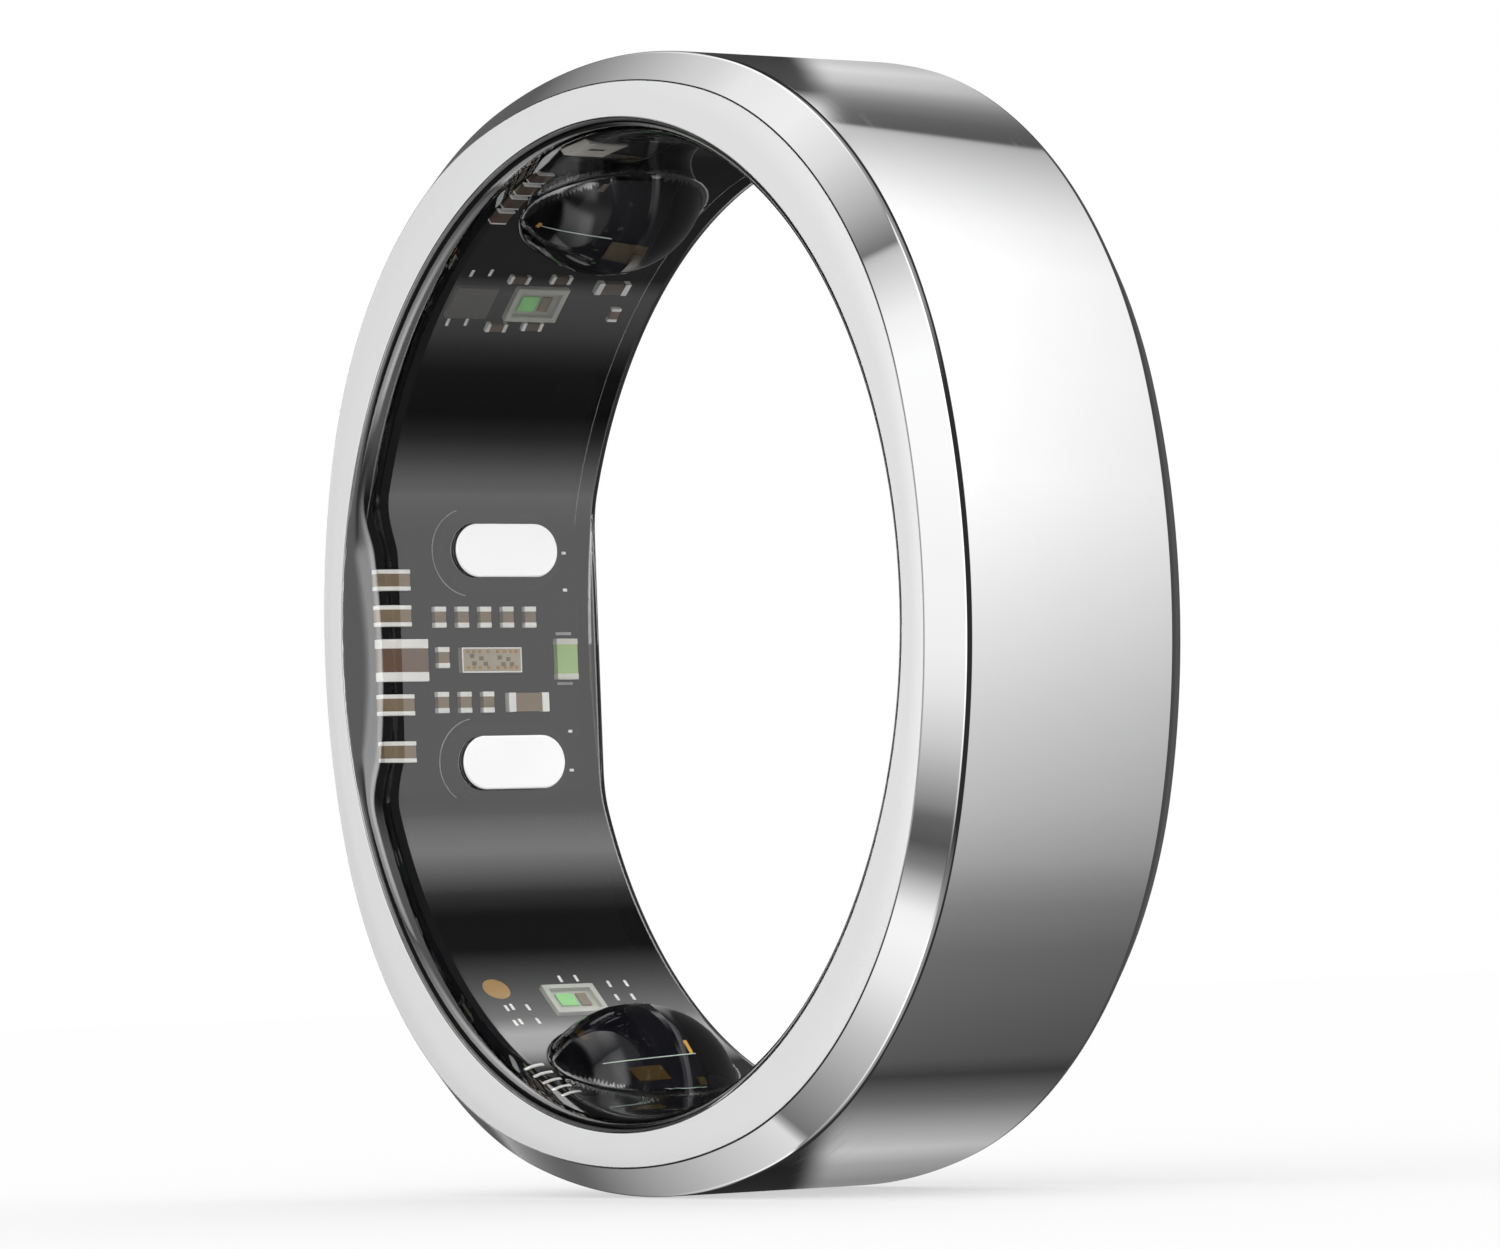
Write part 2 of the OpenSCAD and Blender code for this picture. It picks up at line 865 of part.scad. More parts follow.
module test_pads() {
    color("silver") {
        round_pad_places() block([board_pad[0], board_pad[1], pad_high]);
        flat_pad_places() block([via_pad[0], via_pad[1], pad_high]);
        antenna_pad_places() block([antenna_pad[0], antenna_pad[1], pad_high]);
    }
}

module gold_pad() {
    color("gold") gold_pad_place() cylinder(d = gold_pad_across, h = pad_high);
}

module solder_bars() {
    color("silver") bar_places() block(solder_bar);
}

outer_shell();
clear_resin();
black_potting();
flex_board();
battery_cell();
battery_tape();
battery_tabs();
protection_board();
protection_chips();
bridge_strips();
upper_contact();
lower_contact();
contact_collars();
small_capacitor_bodies();
small_capacitor_ends();
edge_capacitor_bodies();
edge_capacitor_ends();
power_inductor();
power_inductor_ends();
bulk_capacitor();
bulk_capacitor_ends();
signal_chip();
signal_chip_pads();
chip_antenna();
chip_antenna_ends();
sensor_capacitor_bodies();
sensor_capacitor_ends();
supply_capacitor();
supply_capacitor_ends();
sense_resistor();
sense_resistor_ends();
power_chip();
upper_led_package();
lower_led_package();
upper_led_dies();
lower_led_dies();
upper_photodiode();
lower_photodiode();
photodiode_pads();
surface_sensor();
surface_sensor_window();
temperature_chip();
processor_chip();
motion_chip();
charger_chip();
crystal();
test_pads();
gold_pad();
solder_bars();
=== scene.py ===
"""Looks of a smart ring, built round its packed construction model.

Sizes are in millimetres until a mesh is made, and angles in degrees. Angles round the ring start at
+X and turn towards +Z, so the two charging contacts sit at 180 degrees on the inner wall.
"""

import logging
import math
from collections.abc import Callable
from dataclasses import dataclass, field
from enum import Enum

import bmesh
import bpy
import numpy as np
from mathutils import Matrix, Vector


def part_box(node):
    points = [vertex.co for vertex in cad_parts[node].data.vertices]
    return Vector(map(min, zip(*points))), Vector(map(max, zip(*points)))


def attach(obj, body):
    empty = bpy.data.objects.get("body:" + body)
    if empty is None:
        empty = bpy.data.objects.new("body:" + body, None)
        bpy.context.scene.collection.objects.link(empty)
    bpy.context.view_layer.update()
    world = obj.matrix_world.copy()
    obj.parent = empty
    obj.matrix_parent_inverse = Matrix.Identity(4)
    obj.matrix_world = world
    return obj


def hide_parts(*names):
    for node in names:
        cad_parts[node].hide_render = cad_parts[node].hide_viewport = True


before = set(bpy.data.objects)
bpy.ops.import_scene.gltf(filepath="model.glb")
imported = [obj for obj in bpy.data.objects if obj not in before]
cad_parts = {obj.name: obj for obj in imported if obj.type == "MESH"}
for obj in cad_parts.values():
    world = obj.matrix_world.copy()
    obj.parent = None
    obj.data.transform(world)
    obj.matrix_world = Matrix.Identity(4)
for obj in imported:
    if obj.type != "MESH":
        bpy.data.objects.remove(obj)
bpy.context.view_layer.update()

Pair = tuple[float, float]
Triple = tuple[float, float, float]
LOG = logging.getLogger("smart_ring")
MM = 0.001
# Where the noise starts and ends turning into a rub mark.
MARK_RAMP = (0.56, 0.72)
# A grained surface's roughness is its own value times the first, and up to the second more.
ROUGH_BASE, ROUGH_VARIES = 0.9, 0.2
# How full the rounding of a block's edges is, where 0.5 is a circle's.
BEVEL_PROFILE = 0.6
# The flat faces 180 degrees, and an angle whose cosine to it is lower than this counts as this.
LEAST_FACING = 0.2
# A rounded edge between faces that turn by 45 degrees takes this share of its radius from each.
HALF_TURN_TANGENT = math.tan(math.radians(22.5))


def mm_box(node: str) -> tuple[Vector, Vector]:
    """Gives a construction node's box in millimetres.

    Args:
        node: Name of the node.

    Returns:
        The lowest and the highest corner.
    """
    low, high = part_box(node)
    return Vector(low) / MM, Vector(high) / MM


# Node trees


class Bench:
    """A short way to add and join nodes in one tree."""

    def __init__(self, tree: bpy.types.NodeTree) -> None:
        """Keeps the tree that nodes are added to.

        Args:
            tree: A shader or geometry node tree.
        """
        self.tree = tree
        self.column = 0

    def add(self, kind: str, values: dict | None = None, **settings: object) -> bpy.types.Node:
        """Adds one node.

        Args:
            kind: Blender's name for the node type.
            values: Constants or sockets for its inputs, by name or number.
            settings: Properties of the node itself.

        Returns:
            The new node.
        """
        node = self.tree.nodes.new(kind)
        node.location = (self.column * 180, 0)
        self.column += 1
        for name, value in settings.items():
            setattr(node, name, value)
        self.feed(node, values or {})
        return node

    def feed(self, node: bpy.types.Node, values: dict) -> None:
        """Sets or joins the inputs of a node.

        Args:
            node: The node.
            values: Constants or sockets for its inputs, by name or number.
        """
        for name, value in values.items():
            if isinstance(value, bpy.types.NodeSocket):
                self.tree.links.new(value, node.inputs[name])
            else:
                node.inputs[name].default_value = value

    def math(self, operation: str, *values: object, clamp: bool = False) -> bpy.types.NodeSocket:
        """Adds a Math node.

        Args:
            operation: Blender's name for the operation.
            values: Constants or sockets, in order.
            clamp: True to hold the result between 0 and 1.

        Returns:
            The result's socket.
        """
        inputs = dict(enumerate(values))
        node = self.add("ShaderNodeMath", inputs, operation=operation, use_clamp=clamp)
        return node.outputs[0]

    def ramp(self, value: bpy.types.NodeSocket, low: float, high: float) -> bpy.types.NodeSocket:
        """Maps a value smoothly to 0 below low and 1 above high.

        Args:
            value: The value to map.
            low: Where the result is 0.
            high: Where the result is 1.

        Returns:
            The result's socket.
        """
        limits = {"Value": value, "From Min": low, "From Max": high}
        node = self.add("ShaderNodeMapRange", limits, interpolation_type="SMOOTHSTEP")
        return node.outputs["Result"]

    def mix(self, share: object, first: object, second: object) -> bpy.types.NodeSocket:
        """Mixes two colours.

        Args:
            share: How much of the second shows.
            first: Colour or socket.
            second: Colour or socket.

        Returns:
            The mixed colour's socket.
        """
        inputs = {0: share, 6: first, 7: second}
        return self.add("ShaderNodeMix", inputs, data_type="RGBA").outputs[2]

    def mix_value(self, share: object, first: object, second: object) -> bpy.types.NodeSocket:
        """Mixes two plain numbers, as first * (1 - share) + second * share."""
        inputs = {0: share, 2: first, 3: second}
        return self.add("ShaderNodeMix", inputs, data_type="FLOAT").outputs[0]

    def bump(self, height: object, strength: float) -> bpy.types.NodeSocket:
        """Adds a Bump node whose height is in millimetres."""
        inputs = {"Height": height, "Distance": MM, "Strength": strength}
        return self.add("ShaderNodeBump", inputs).outputs[0]

    def group(self, name: str, place: bpy.types.NodeSocket, **values: float) -> bpy.types.Node:
        """Adds one of the shared shader groups.

        Args:
            name: The group's name in GROUPS.
            place: Object coordinates.
            values: Its number inputs, with _ in place of spaces.

        Returns:
            The group's node.
        """
        inputs = {"Place": place} | {name.replace("_", " "): number
                                     for name, number in values.items()}
        return self.add("ShaderNodeGroup", inputs, node_tree=GROUPS[name])


def node_material(name: str) -> bpy.types.Material:
    """Makes a material that uses nodes.

    Args:
        name: Its name.

    Returns:
        The material.
    """
    made = bpy.data.materials.new(name)
    made.use_nodes = True
    return made


def rgba(colour: tuple[float, float, float]) -> tuple[float, float, float, float]:
    """Gives a colour its full alpha."""
    return (*colour, 1.0)


def new_group(name: str, inputs: dict[str, float], outputs: tuple[str, ...]) -> bpy.types.NodeTree:
    """Makes an empty shader node group with plain number sockets.

    Args:
        name: Name of the group.
        inputs: Default value of each number input.
        outputs: Names of the number outputs.

    Returns:
        The group, with its input and output nodes in place.
    """
    group = bpy.data.node_groups.new(name, "ShaderNodeTree")
    group.interface.new_socket("Place", in_out="INPUT", socket_type="NodeSocketVector")
    for label, value in inputs.items():
        socket = group.interface.new_socket(label, in_out="INPUT", socket_type="NodeSocketFloat")
        socket.default_value = value
    for label in outputs:
        group.interface.new_socket(label, in_out="OUTPUT", socket_type="NodeSocketFloat")
    group.nodes.new("NodeGroupInput")
    group.nodes.new("NodeGroupOutput")
    return group


def grain_group() -> bpy.types.NodeTree:
    """Builds the fine grain that satin metal, ceramics and boards share.

    Returns:
        A group that puts out a height and a value that varies in wide patches.
    """
    group = new_group("fine_grain", {"Grain Size": 0.04, "Patch Size": 2.0}, ("Height", "Patches"))
    bench = Bench(group)
    source, sink = group.nodes
    fine = bench.math("DIVIDE", 1 / MM, source.outputs["Grain Size"])
    wide = bench.math("DIVIDE", 1 / MM, source.outputs["Patch Size"])
    for scale, detail, label in ((fine, 4.0, "Height"), (wide, 2.0, "Patches")):
        noise = bench.add("ShaderNodeTexNoise",
                          {"Vector": source.outputs["Place"], "Scale": scale, "Detail": detail})
        group.links.new(noise.outputs["Fac"], sink.inputs[label])
    return group


def wear_group() -> bpy.types.NodeTree:
    """Builds the hair-fine rub marks that polished metal and gloss resin share.

    Returns:
        A group that puts out a height and a mask of the marks.
    """
    group = new_group("rub_marks", {"Mark Size": 1.6, "Stretch": 14.0}, ("Height", "Marks"))
    bench = Bench(group)
    source, sink = group.nodes
    scale = bench.math("DIVIDE", 1 / MM, source.outputs["Mark Size"])
    parts = bench.add("ShaderNodeSeparateXYZ", {0: source.outputs["Place"]})
    across = bench.math("MULTIPLY", parts.outputs["Y"], source.outputs["Stretch"])
    place = bench.add("ShaderNodeCombineXYZ",
                      {"X": parts.outputs["X"], "Y": across, "Z": parts.outputs["Z"]})
    noise = bench.add("ShaderNodeTexNoise",
                      {"Vector": place.outputs[0], "Scale": scale, "Detail": 3.0})
    marks = bench.ramp(noise.outputs["Fac"], *MARK_RAMP)
    group.links.new(noise.outputs["Fac"], sink.inputs["Height"])
    group.links.new(marks, sink.inputs["Marks"])
    return group


@dataclass(frozen=True)
class Finish:
    """A surface: its colour, gloss and fine grain, and any painted light: an emission that makes a
    part shine though it is no lamp.
    """

    name: str
    colour: tuple[float, float, float]
    roughness: float = 0.4
    metallic: float = 0.0
    grain_mm: float = 0.03
    grain_height: float = 0.05
    mottle: float = 0.15
    specular: float = 0.2
    glow: float = 0.0

    def material(self) -> bpy.types.Material:
        """Gives the finish's material, made once.

        Returns:
            The material.
        """
        made = bpy.data.materials.get(self.name)
        if made:
            return made
        made = node_material(self.name)
        bench = Bench(made.node_tree)
        shader = made.node_tree.nodes["Principled BSDF"]
        place = bench.add("ShaderNodeTexCoord").outputs["Object"]
        self.dress(bench, shader, place)
        return made

    def dress(self, bench: Bench, shader: bpy.types.Node, place: bpy.types.NodeSocket) -> None:
        """Joins the grain and the colour to the shader, and the painted light if the finish has
        any.

        Args:
            bench: The material's tree.
            shader: Its Principled BSDF.
            place: Object coordinates.
        """
        grain = bench.group("grain", place, Grain_Size=self.grain_mm)
        light = tuple(min(1.0, part * (1 + self.mottle)) for part in self.colour)
        dark = tuple(part * (1 - self.mottle) for part in self.colour)
        shade = bench.mix(grain.outputs["Patches"], rgba(dark), rgba(light))
        rough = bench.math("MULTIPLY_ADD", grain.outputs["Height"],
                           ROUGH_VARIES * self.roughness, ROUGH_BASE * self.roughness)
        bump = bench.bump(grain.outputs["Height"], self.grain_height)
        bench.feed(shader, {"Metallic": self.metallic, "Specular IOR Level": self.specular,
                            "Base Color": shade, "Roughness": rough, "Normal": bump})
        # Painted light: emission in the surface's own colour, so the part shines though it is no
        # lamp.
        if self.glow:
            bench.feed(shader, {"Emission Color": shade, "Emission Strength": self.glow})


@dataclass(frozen=True)
class ShellFinish(Finish):
    """Metal that is polished on the band and satin on its two side faces."""

    satin_roughness: float = 0.3
    satin_metallic: float = 0.36
    face_at_mm: float = 3.4
    face_ramp_mm: Pair = (0.008, 0.001)
    mark_roughness: float = 0.02
    patch_gain: float = 1.03
    flat_height: float = 0.5

    def dress(self, bench: Bench, shader: bpy.types.Node, place: bpy.types.NodeSocket) -> None:
        """Joins the two finishes, parted by the distance from the ring's middle plane.

        Args:
            bench: The material's tree.
            shader: Its Principled BSDF.
            place: Object coordinates.
        """
        grain = bench.group("grain", place, Grain_Size=self.grain_mm)
        marks = bench.group("wear", place)
        along = bench.add("ShaderNodeSeparateXYZ", {0: place}).outputs["Y"]
        depth = bench.math("ABSOLUTE", along)
        edge = self.face_at_mm * MM
        start, end = (edge - inside * MM for inside in self.face_ramp_mm)
        satin = bench.ramp(depth, start, end)
        polish = bench.math("MULTIPLY_ADD", marks.outputs["Marks"], self.mark_roughness,
                            self.roughness)
        rough = bench.mix_value(satin, polish, self.satin_roughness)
        height = bench.mix_value(satin, self.flat_height, grain.outputs["Height"])
        bump = bench.bump(height, self.grain_height)
        light = tuple(min(1.0, part * self.patch_gain) for part in self.colour)
        shade = bench.mix(grain.outputs["Patches"], rgba(self.colour), rgba(light))
        metallic = bench.mix_value(satin, 1.0, self.satin_metallic)
        bench.feed(shader, {"Metallic": metallic, "Base Color": shade, "Roughness": rough,
                            "Normal": bump})


@dataclass(frozen=True)
class ResinFinish(Finish):
    """Water-clear gloss resin that lets light through to what is cast in it."""

    ior: float = 1.5
    coat_ior: float = 2.26
    coat: float = 1.0

    def dress(self, bench: Bench, shader: bpy.types.Node, place: bpy.types.NodeSocket) -> None:
        """Joins the rub marks, and lets light that makes shadows straight through.

        Args:
            bench: The material's tree.
            shader: Its Principled BSDF.
            place: Object coordinates.
        """
        marks = bench.group("wear", place)
        bump = bench.bump(marks.outputs["Height"], self.grain_height)
        bench.feed(shader, {"Base Color": rgba(self.colour), "Roughness": self.roughness,
                            "IOR": self.ior, "Transmission Weight": 1.0,
                            "Coat Weight": self.coat, "Coat Roughness": 0.0,
                            "Coat IOR": self.coat_ior, "Normal": bump})
        path = bench.add("ShaderNodeLightPath")
        clear = bench.add("ShaderNodeBsdfTransparent")
        blend = bench.add("ShaderNodeMixShader", {0: path.outputs["Is Shadow Ray"],
                                                  1: shader.outputs[0], 2: clear.outputs[0]})
        sink = bench.tree.nodes["Material Output"]
        bench.feed(sink, {"Surface": blend.outputs[0]})


GROUPS = {"grain": grain_group(), "wear": wear_group()}

SHELL = ShellFinish("polished_titanium", (0.62, 0.62, 0.625), roughness=0.035, grain_mm=0.05,
                    grain_height=0.02)
RESIN = ResinFinish("resin_gloss", (1.0, 1.0, 1.0), roughness=0.0, grain_height=0.0)
DOME = ResinFinish("dome_gloss", (1.0, 1.0, 1.0), roughness=0.0, grain_height=0.0, coat=0.0)
BOARD = Finish("board_black_gloss", (0.004, 0.004, 0.005), roughness=0.22, grain_mm=0.08,
               grain_height=0.004, specular=0.02)
POTTING = Finish("potting_matt", (0.003, 0.003, 0.003), roughness=0.35, grain_height=0.01,
                 specular=0.02)
LINER = Finish("blackened_inside", (0.002, 0.002, 0.002), roughness=0.5, grain_height=0.01,
               specular=0.0)
COLLAR = Finish("collar_dark", (0.008, 0.008, 0.009), roughness=0.3, grain_height=0.01,
                specular=0.05)
CONTACT = Finish("plated_contact", (0.74, 0.74, 0.74), roughness=0.3, metallic=0.05,
                 grain_height=0.01, mottle=0.03)
# Near-black rings on the contacts' plated sides: painted reflection of dark surroundings.
SIDE_PAINTED_REFLECTION = Finish("contact_side", (0.03, 0.03, 0.03), roughness=0.25, mottle=0.1)
CERAMIC = Finish("tan_ceramic", (0.24, 0.175, 0.105), roughness=0.45)
TIN = Finish("tinned_end", (0.92, 0.91, 0.88), roughness=0.35, mottle=0.06)
# Dull tin for real pads, and the light grey of the collars' seams, which is a painted highlight.
GREY_END_AND_SEAM_HIGHLIGHT = Finish("dull_tin", (0.3, 0.3, 0.3), roughness=0.35, mottle=0.1)
BROWN = Finish("brown_ceramic", (0.10, 0.06, 0.04), roughness=0.4)
RED = Finish("red_brown_ceramic", (0.165, 0.095, 0.06), roughness=0.4)
GREEN = Finish("green_ceramic", (0.36, 0.52, 0.2), roughness=0.3)
WHITE = Finish("white_end", (0.6, 0.6, 0.54), roughness=0.4, mottle=0.06)
DIE = Finish("bare_chip", (0.44, 0.38, 0.29), roughness=0.25, mottle=0.2)
GOLD = Finish("gold_plate", (0.43, 0.24, 0.04), roughness=0.28, metallic=0.1, mottle=0.1)
GREY_CHIP = Finish("grey_chip", (0.07, 0.066, 0.055), roughness=0.3, grain_mm=0.06)
PACKAGE = Finish("light_package", (0.5, 0.5, 0.45), roughness=0.35, mottle=0.08)
# The green die's emission is painted light: it shines though it is not a lit lamp.
GREEN_DIE = Finish("green_die", (0.26, 0.66, 0.22), roughness=0.3, glow=0.05)
BRONZE_DIE = Finish("bronze_die", (0.20, 0.15, 0.09), roughness=0.3, mottle=0.4)
# Light strips on the sensors' edges: painted highlight of their lit edges.
EDGE_HIGHLIGHT = Finish("diode_edge", (0.42, 0.5, 0.44), roughness=0.3, mottle=0.1)
DIODE = Finish("diode_glass", (0.004, 0.004, 0.006), roughness=0.3, mottle=0.3, specular=0.03)
# Dark amber for the sensors' real pads and amber places, and for the painted brownish sheen in the
# lower dome.
AMBER_AND_SHEEN = Finish("amber_edge", (0.03, 0.018, 0.004), roughness=0.25)
SENSOR = Finish("sensor_off_white", (0.85, 0.81, 0.73), roughness=0.4, mottle=0.06)
DARK_CHIP = Finish("chip_black", (0.012, 0.012, 0.014), roughness=0.25)
FOIL = Finish("foil_grey", (0.03, 0.031, 0.034), roughness=0.4, metallic=0.3, grain_height=0.03)
TAPE = Finish("amber_tape", (0.5, 0.33, 0.1), roughness=0.4)
NICKEL = Finish("nickel_plate", (0.6, 0.58, 0.54), roughness=0.3, metallic=1.0)
BOARD_GREEN = Finish("green_board", (0.01, 0.05, 0.02), roughness=0.35)


# Mesh making


def make_object(name: str, mesh: bpy.types.Mesh) -> bpy.types.Object:
    """Puts a mesh in the scene under its own name.

    Args:
        name: Name of the object.
        mesh: Its mesh.

    Returns:
        The object.
    """
    made = bpy.data.objects.new(name, mesh)
    bpy.context.scene.collection.objects.link(made)
    return made


def mesh_from(name: str, points: np.ndarray, faces: list[tuple[int, ...]],
              sharp: float = 40.0) -> bpy.types.Mesh:
    """Makes a smooth mesh from points in millimetres, with its faces turned outwards.

    Args:
        name: Name of the mesh.
        points: One row of x, y, z for each point.
        faces: Indices of each face's points.
        sharp: Edges that turn by more degrees than this stay sharp.

    Returns:
        The mesh, in metres.
    """
    corners = np.array([face[:3] for face in faces])
    first, second, third = (points[corners[:, place]] for place in range(3))
    volume = np.einsum("ij,ij->i", first, np.cross(second, third)).sum()
    if volume < 0:
        faces = [tuple(reversed(face)) for face in faces]
    mesh = bpy.data.meshes.new(name)
    mesh.from_pydata((points * MM).tolist(), [], faces)
    mesh.polygons.foreach_set("use_smooth", [True] * len(mesh.polygons))
    mesh.update()
    mesh.set_sharp_from_angle(angle=math.radians(sharp))
    return mesh


def loop_faces(rows: int, stations: int, closed: bool = True) -> list[tuple[int, ...]]:
    """Joins a closed cross-section at each station to the next one.

    Args:
        rows: Points in the cross-section.
        stations: How many cross-sections there are.
        closed: True if the last station joins the first; otherwise both ends are capped.

    Returns:
        The faces, for points numbered station by station.
    """
    faces = []
    last = stations if closed else stations - 1
    for station in range(last):
        after = (station + 1) % stations
        for row in range(rows):
            up = (row + 1) % rows
            faces.append((station * rows + row, station * rows + up, after * rows + up,
                          after * rows + row))
    if not closed:
        faces.append(tuple(range(rows - 1, -1, -1)))
        faces.append(tuple(last * rows + row for row in range(rows)))
    return faces


def by_station(spots: list[np.ndarray]) -> np.ndarray:
    """Turns one array of points for each row into one list, station by station."""
    return np.stack(spots, axis=1).reshape(-1, 3)


def round_rows(rows: list[tuple], theta: np.ndarray) -> np.ndarray:
    """Carries the rows of a cross-section round the ring's axis.

    Args:
        rows: Distance from the axis and place along it, for each row.
        theta: Angles of the stations, in radians.

    Returns:
        The points, station by station.
    """
    spots = []
    for radius, along in rows:
        radius = np.broadcast_to(radius, theta.shape)
        along = np.broadcast_to(along, theta.shape)
        spots.append(np.column_stack([radius * np.cos(theta), along, radius * np.sin(theta)]))
    return by_station(spots)


def flat_facing(theta: np.ndarray) -> np.ndarray:
    """Gives how far each angle round the ring, in radians, faces the flat."""
    return np.maximum(-np.cos(theta), LEAST_FACING)


def two_finishes(mesh: bpy.types.Mesh, main: Finish, other: Finish,
                 is_other: Callable[[int], bool]) -> None:
    """Gives a mesh its main finish, and another one to some of its faces.

    Args:
        mesh: The mesh.
        main: Its main finish.
        other: The other finish.
        is_other: Says for a face's number whether it has the other finish.
    """
    mesh.materials.append(main.material())
    mesh.materials.append(other.material())
    marks = [bool(is_other(face)) for face in range(len(mesh.polygons))]
    mesh.polygons.foreach_set("material_index", marks)


def dressed(piece: bpy.types.Object, finish: Finish, slot: str, *nodes: str) -> bpy.types.Object:
    """Gives a piece its finish, its body and the nodes that it stands for.

    Args:
        piece: The finished piece.
        finish: Its finish.
        slot: Its material slot in the record; not used.
        nodes: The construction nodes that it replaces.

    Returns:
        The piece.
    """
    if not piece.data.materials:
        piece.data.materials.append(finish.material())
    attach(piece, "root")
    if nodes:
        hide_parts(*nodes)
    LOG.info("%s: %d faces, %s", piece.name, len(piece.data.polygons), finish.name)
    return piece


def soft_min(first: np.ndarray, second: np.ndarray, blend: float) -> np.ndarray:
    """Gives the lower of two values, rounded over where they cross.

    Args:
        first: Values.
        second: Values.
        blend: How far the rounding reaches, in the values' own unit.

    Returns:
        The rounded minimum.
    """
    share = np.clip(0.5 + 0.5 * (second - first) / blend, 0, 1)
    return second * (1 - share) + first * share - blend * share * (1 - share)


# Sizes


@dataclass(frozen=True)
class RingSizes:
    """Main sizes of the ring in millimetres; the outside ones come from the frame."""

    half_across: float = mm_box("outer_shell")[1].x
    half_width: float = mm_box("outer_shell")[1].y
    bore_r: float = 10.9
    rim_lip: float = 0.37
    cover: float = 0.45
    flat_rise: float = 0.52
    round_lip: float = 0.8
    shell_wall: float = 0.55
    side_wall: float = 0.5
    board_gap: float = 0.1
    board_thick: float = 0.12
    solder: float = 0.02
    contact_spacing: float = 5.06
    contact_offset: float = 0.68
    contact_drop: float = 0.08
    side_arc_share: float = 1.349
    corner_arc_share: float = 0.847

    @property
    def rim_r(self) -> float:
        """Radius of the metal rim round the resin."""
        return self.bore_r + self.rim_lip

    @property
    def board_r(self) -> float:
        """Radius of the board's inner face."""
        return self.bore_r + self.cover

    @property
    def flat_x(self) -> float:
        """Distance of the resin flat from the ring's axis."""
        return self.bore_r - self.flat_rise

    @property
    def board_x(self) -> float:
        """Distance of the board's flat from the ring's axis."""
        return self.flat_x + self.cover

    @property
    def channel_half(self) -> float:
        """Half of the room between the two side walls."""
        return self.half_width - self.side_wall

    @property
    def board_half(self) -> float:
        """Half of the board's width."""
        return self.channel_half - self.board_gap


RING = RingSizes()


@dataclass(frozen=True)
class Outline:
    """The band's outline: a square with bowed sides and round corners, as tangent arcs."""

    ring: RingSizes = RING
    per_side: int = 48
    per_corner: int = 96

    def stations(self) -> tuple[np.ndarray, np.ndarray]:
        """Walks once round the outline.

        Returns:
            Points and outward normals, as rows of x and z.
        """
        across = self.ring.half_across
        side_arc = across * self.ring.side_arc_share
        corner_arc = across * self.ring.corner_arc_share
        back = side_arc - across
        step = side_arc - corner_arc
        corner_at = (math.sqrt(2 * step * step - back * back) - back) / 2
        turn = math.atan2(corner_at, corner_at + back)
        angles = [np.linspace(-turn, turn, self.per_side, endpoint=False),
                  np.linspace(turn, math.pi / 2 - turn, self.per_corner, endpoint=False)]
        middles = [np.array([-back, 0.0]), np.array([corner_at, corner_at])]
        radii = [side_arc, corner_arc]
        points, normals = [], []
        for quarter in range(4):
            cosine, sine = [(1, 0), (0, 1), (-1, 0), (0, -1)][quarter]
            spin = np.array([[cosine, -sine], [sine, cosine]])
            for angle, middle, radius in zip(angles, middles, radii):
                normal = np.column_stack([np.cos(angle), np.sin(angle)])
                points.append((middle + radius * normal) @ spin.T)
                normals.append(normal @ spin.T)
        return np.vstack(points), np.vstack(normals)


def arc(radius: float, start: float, end: float, steps: int) -> list[tuple[float, float]]:
    """Gives the cosine and sine parts of an arc, scaled by its radius.

    Args:
        radius: Radius of the arc.
        start: First angle.
        end: Last angle.
        steps: How many points.

    Returns:
        The points.
    """
    return [(radius * math.cos(math.radians(angle)), radius * math.sin(math.radians(angle)))
            for angle in np.linspace(start, end, steps)]


class Base(Enum):
    """What a row of the shell's cross-section is measured from."""

    OUTLINE = "outline"
    RIM = "rim"
    FACE = "face"


@dataclass(frozen=True)
class Row:
    """One row of the shell: its base, its distance in or out, its height and its normal."""

    base: Base
    reach: float
    height: float
    normal: tuple[float, float]


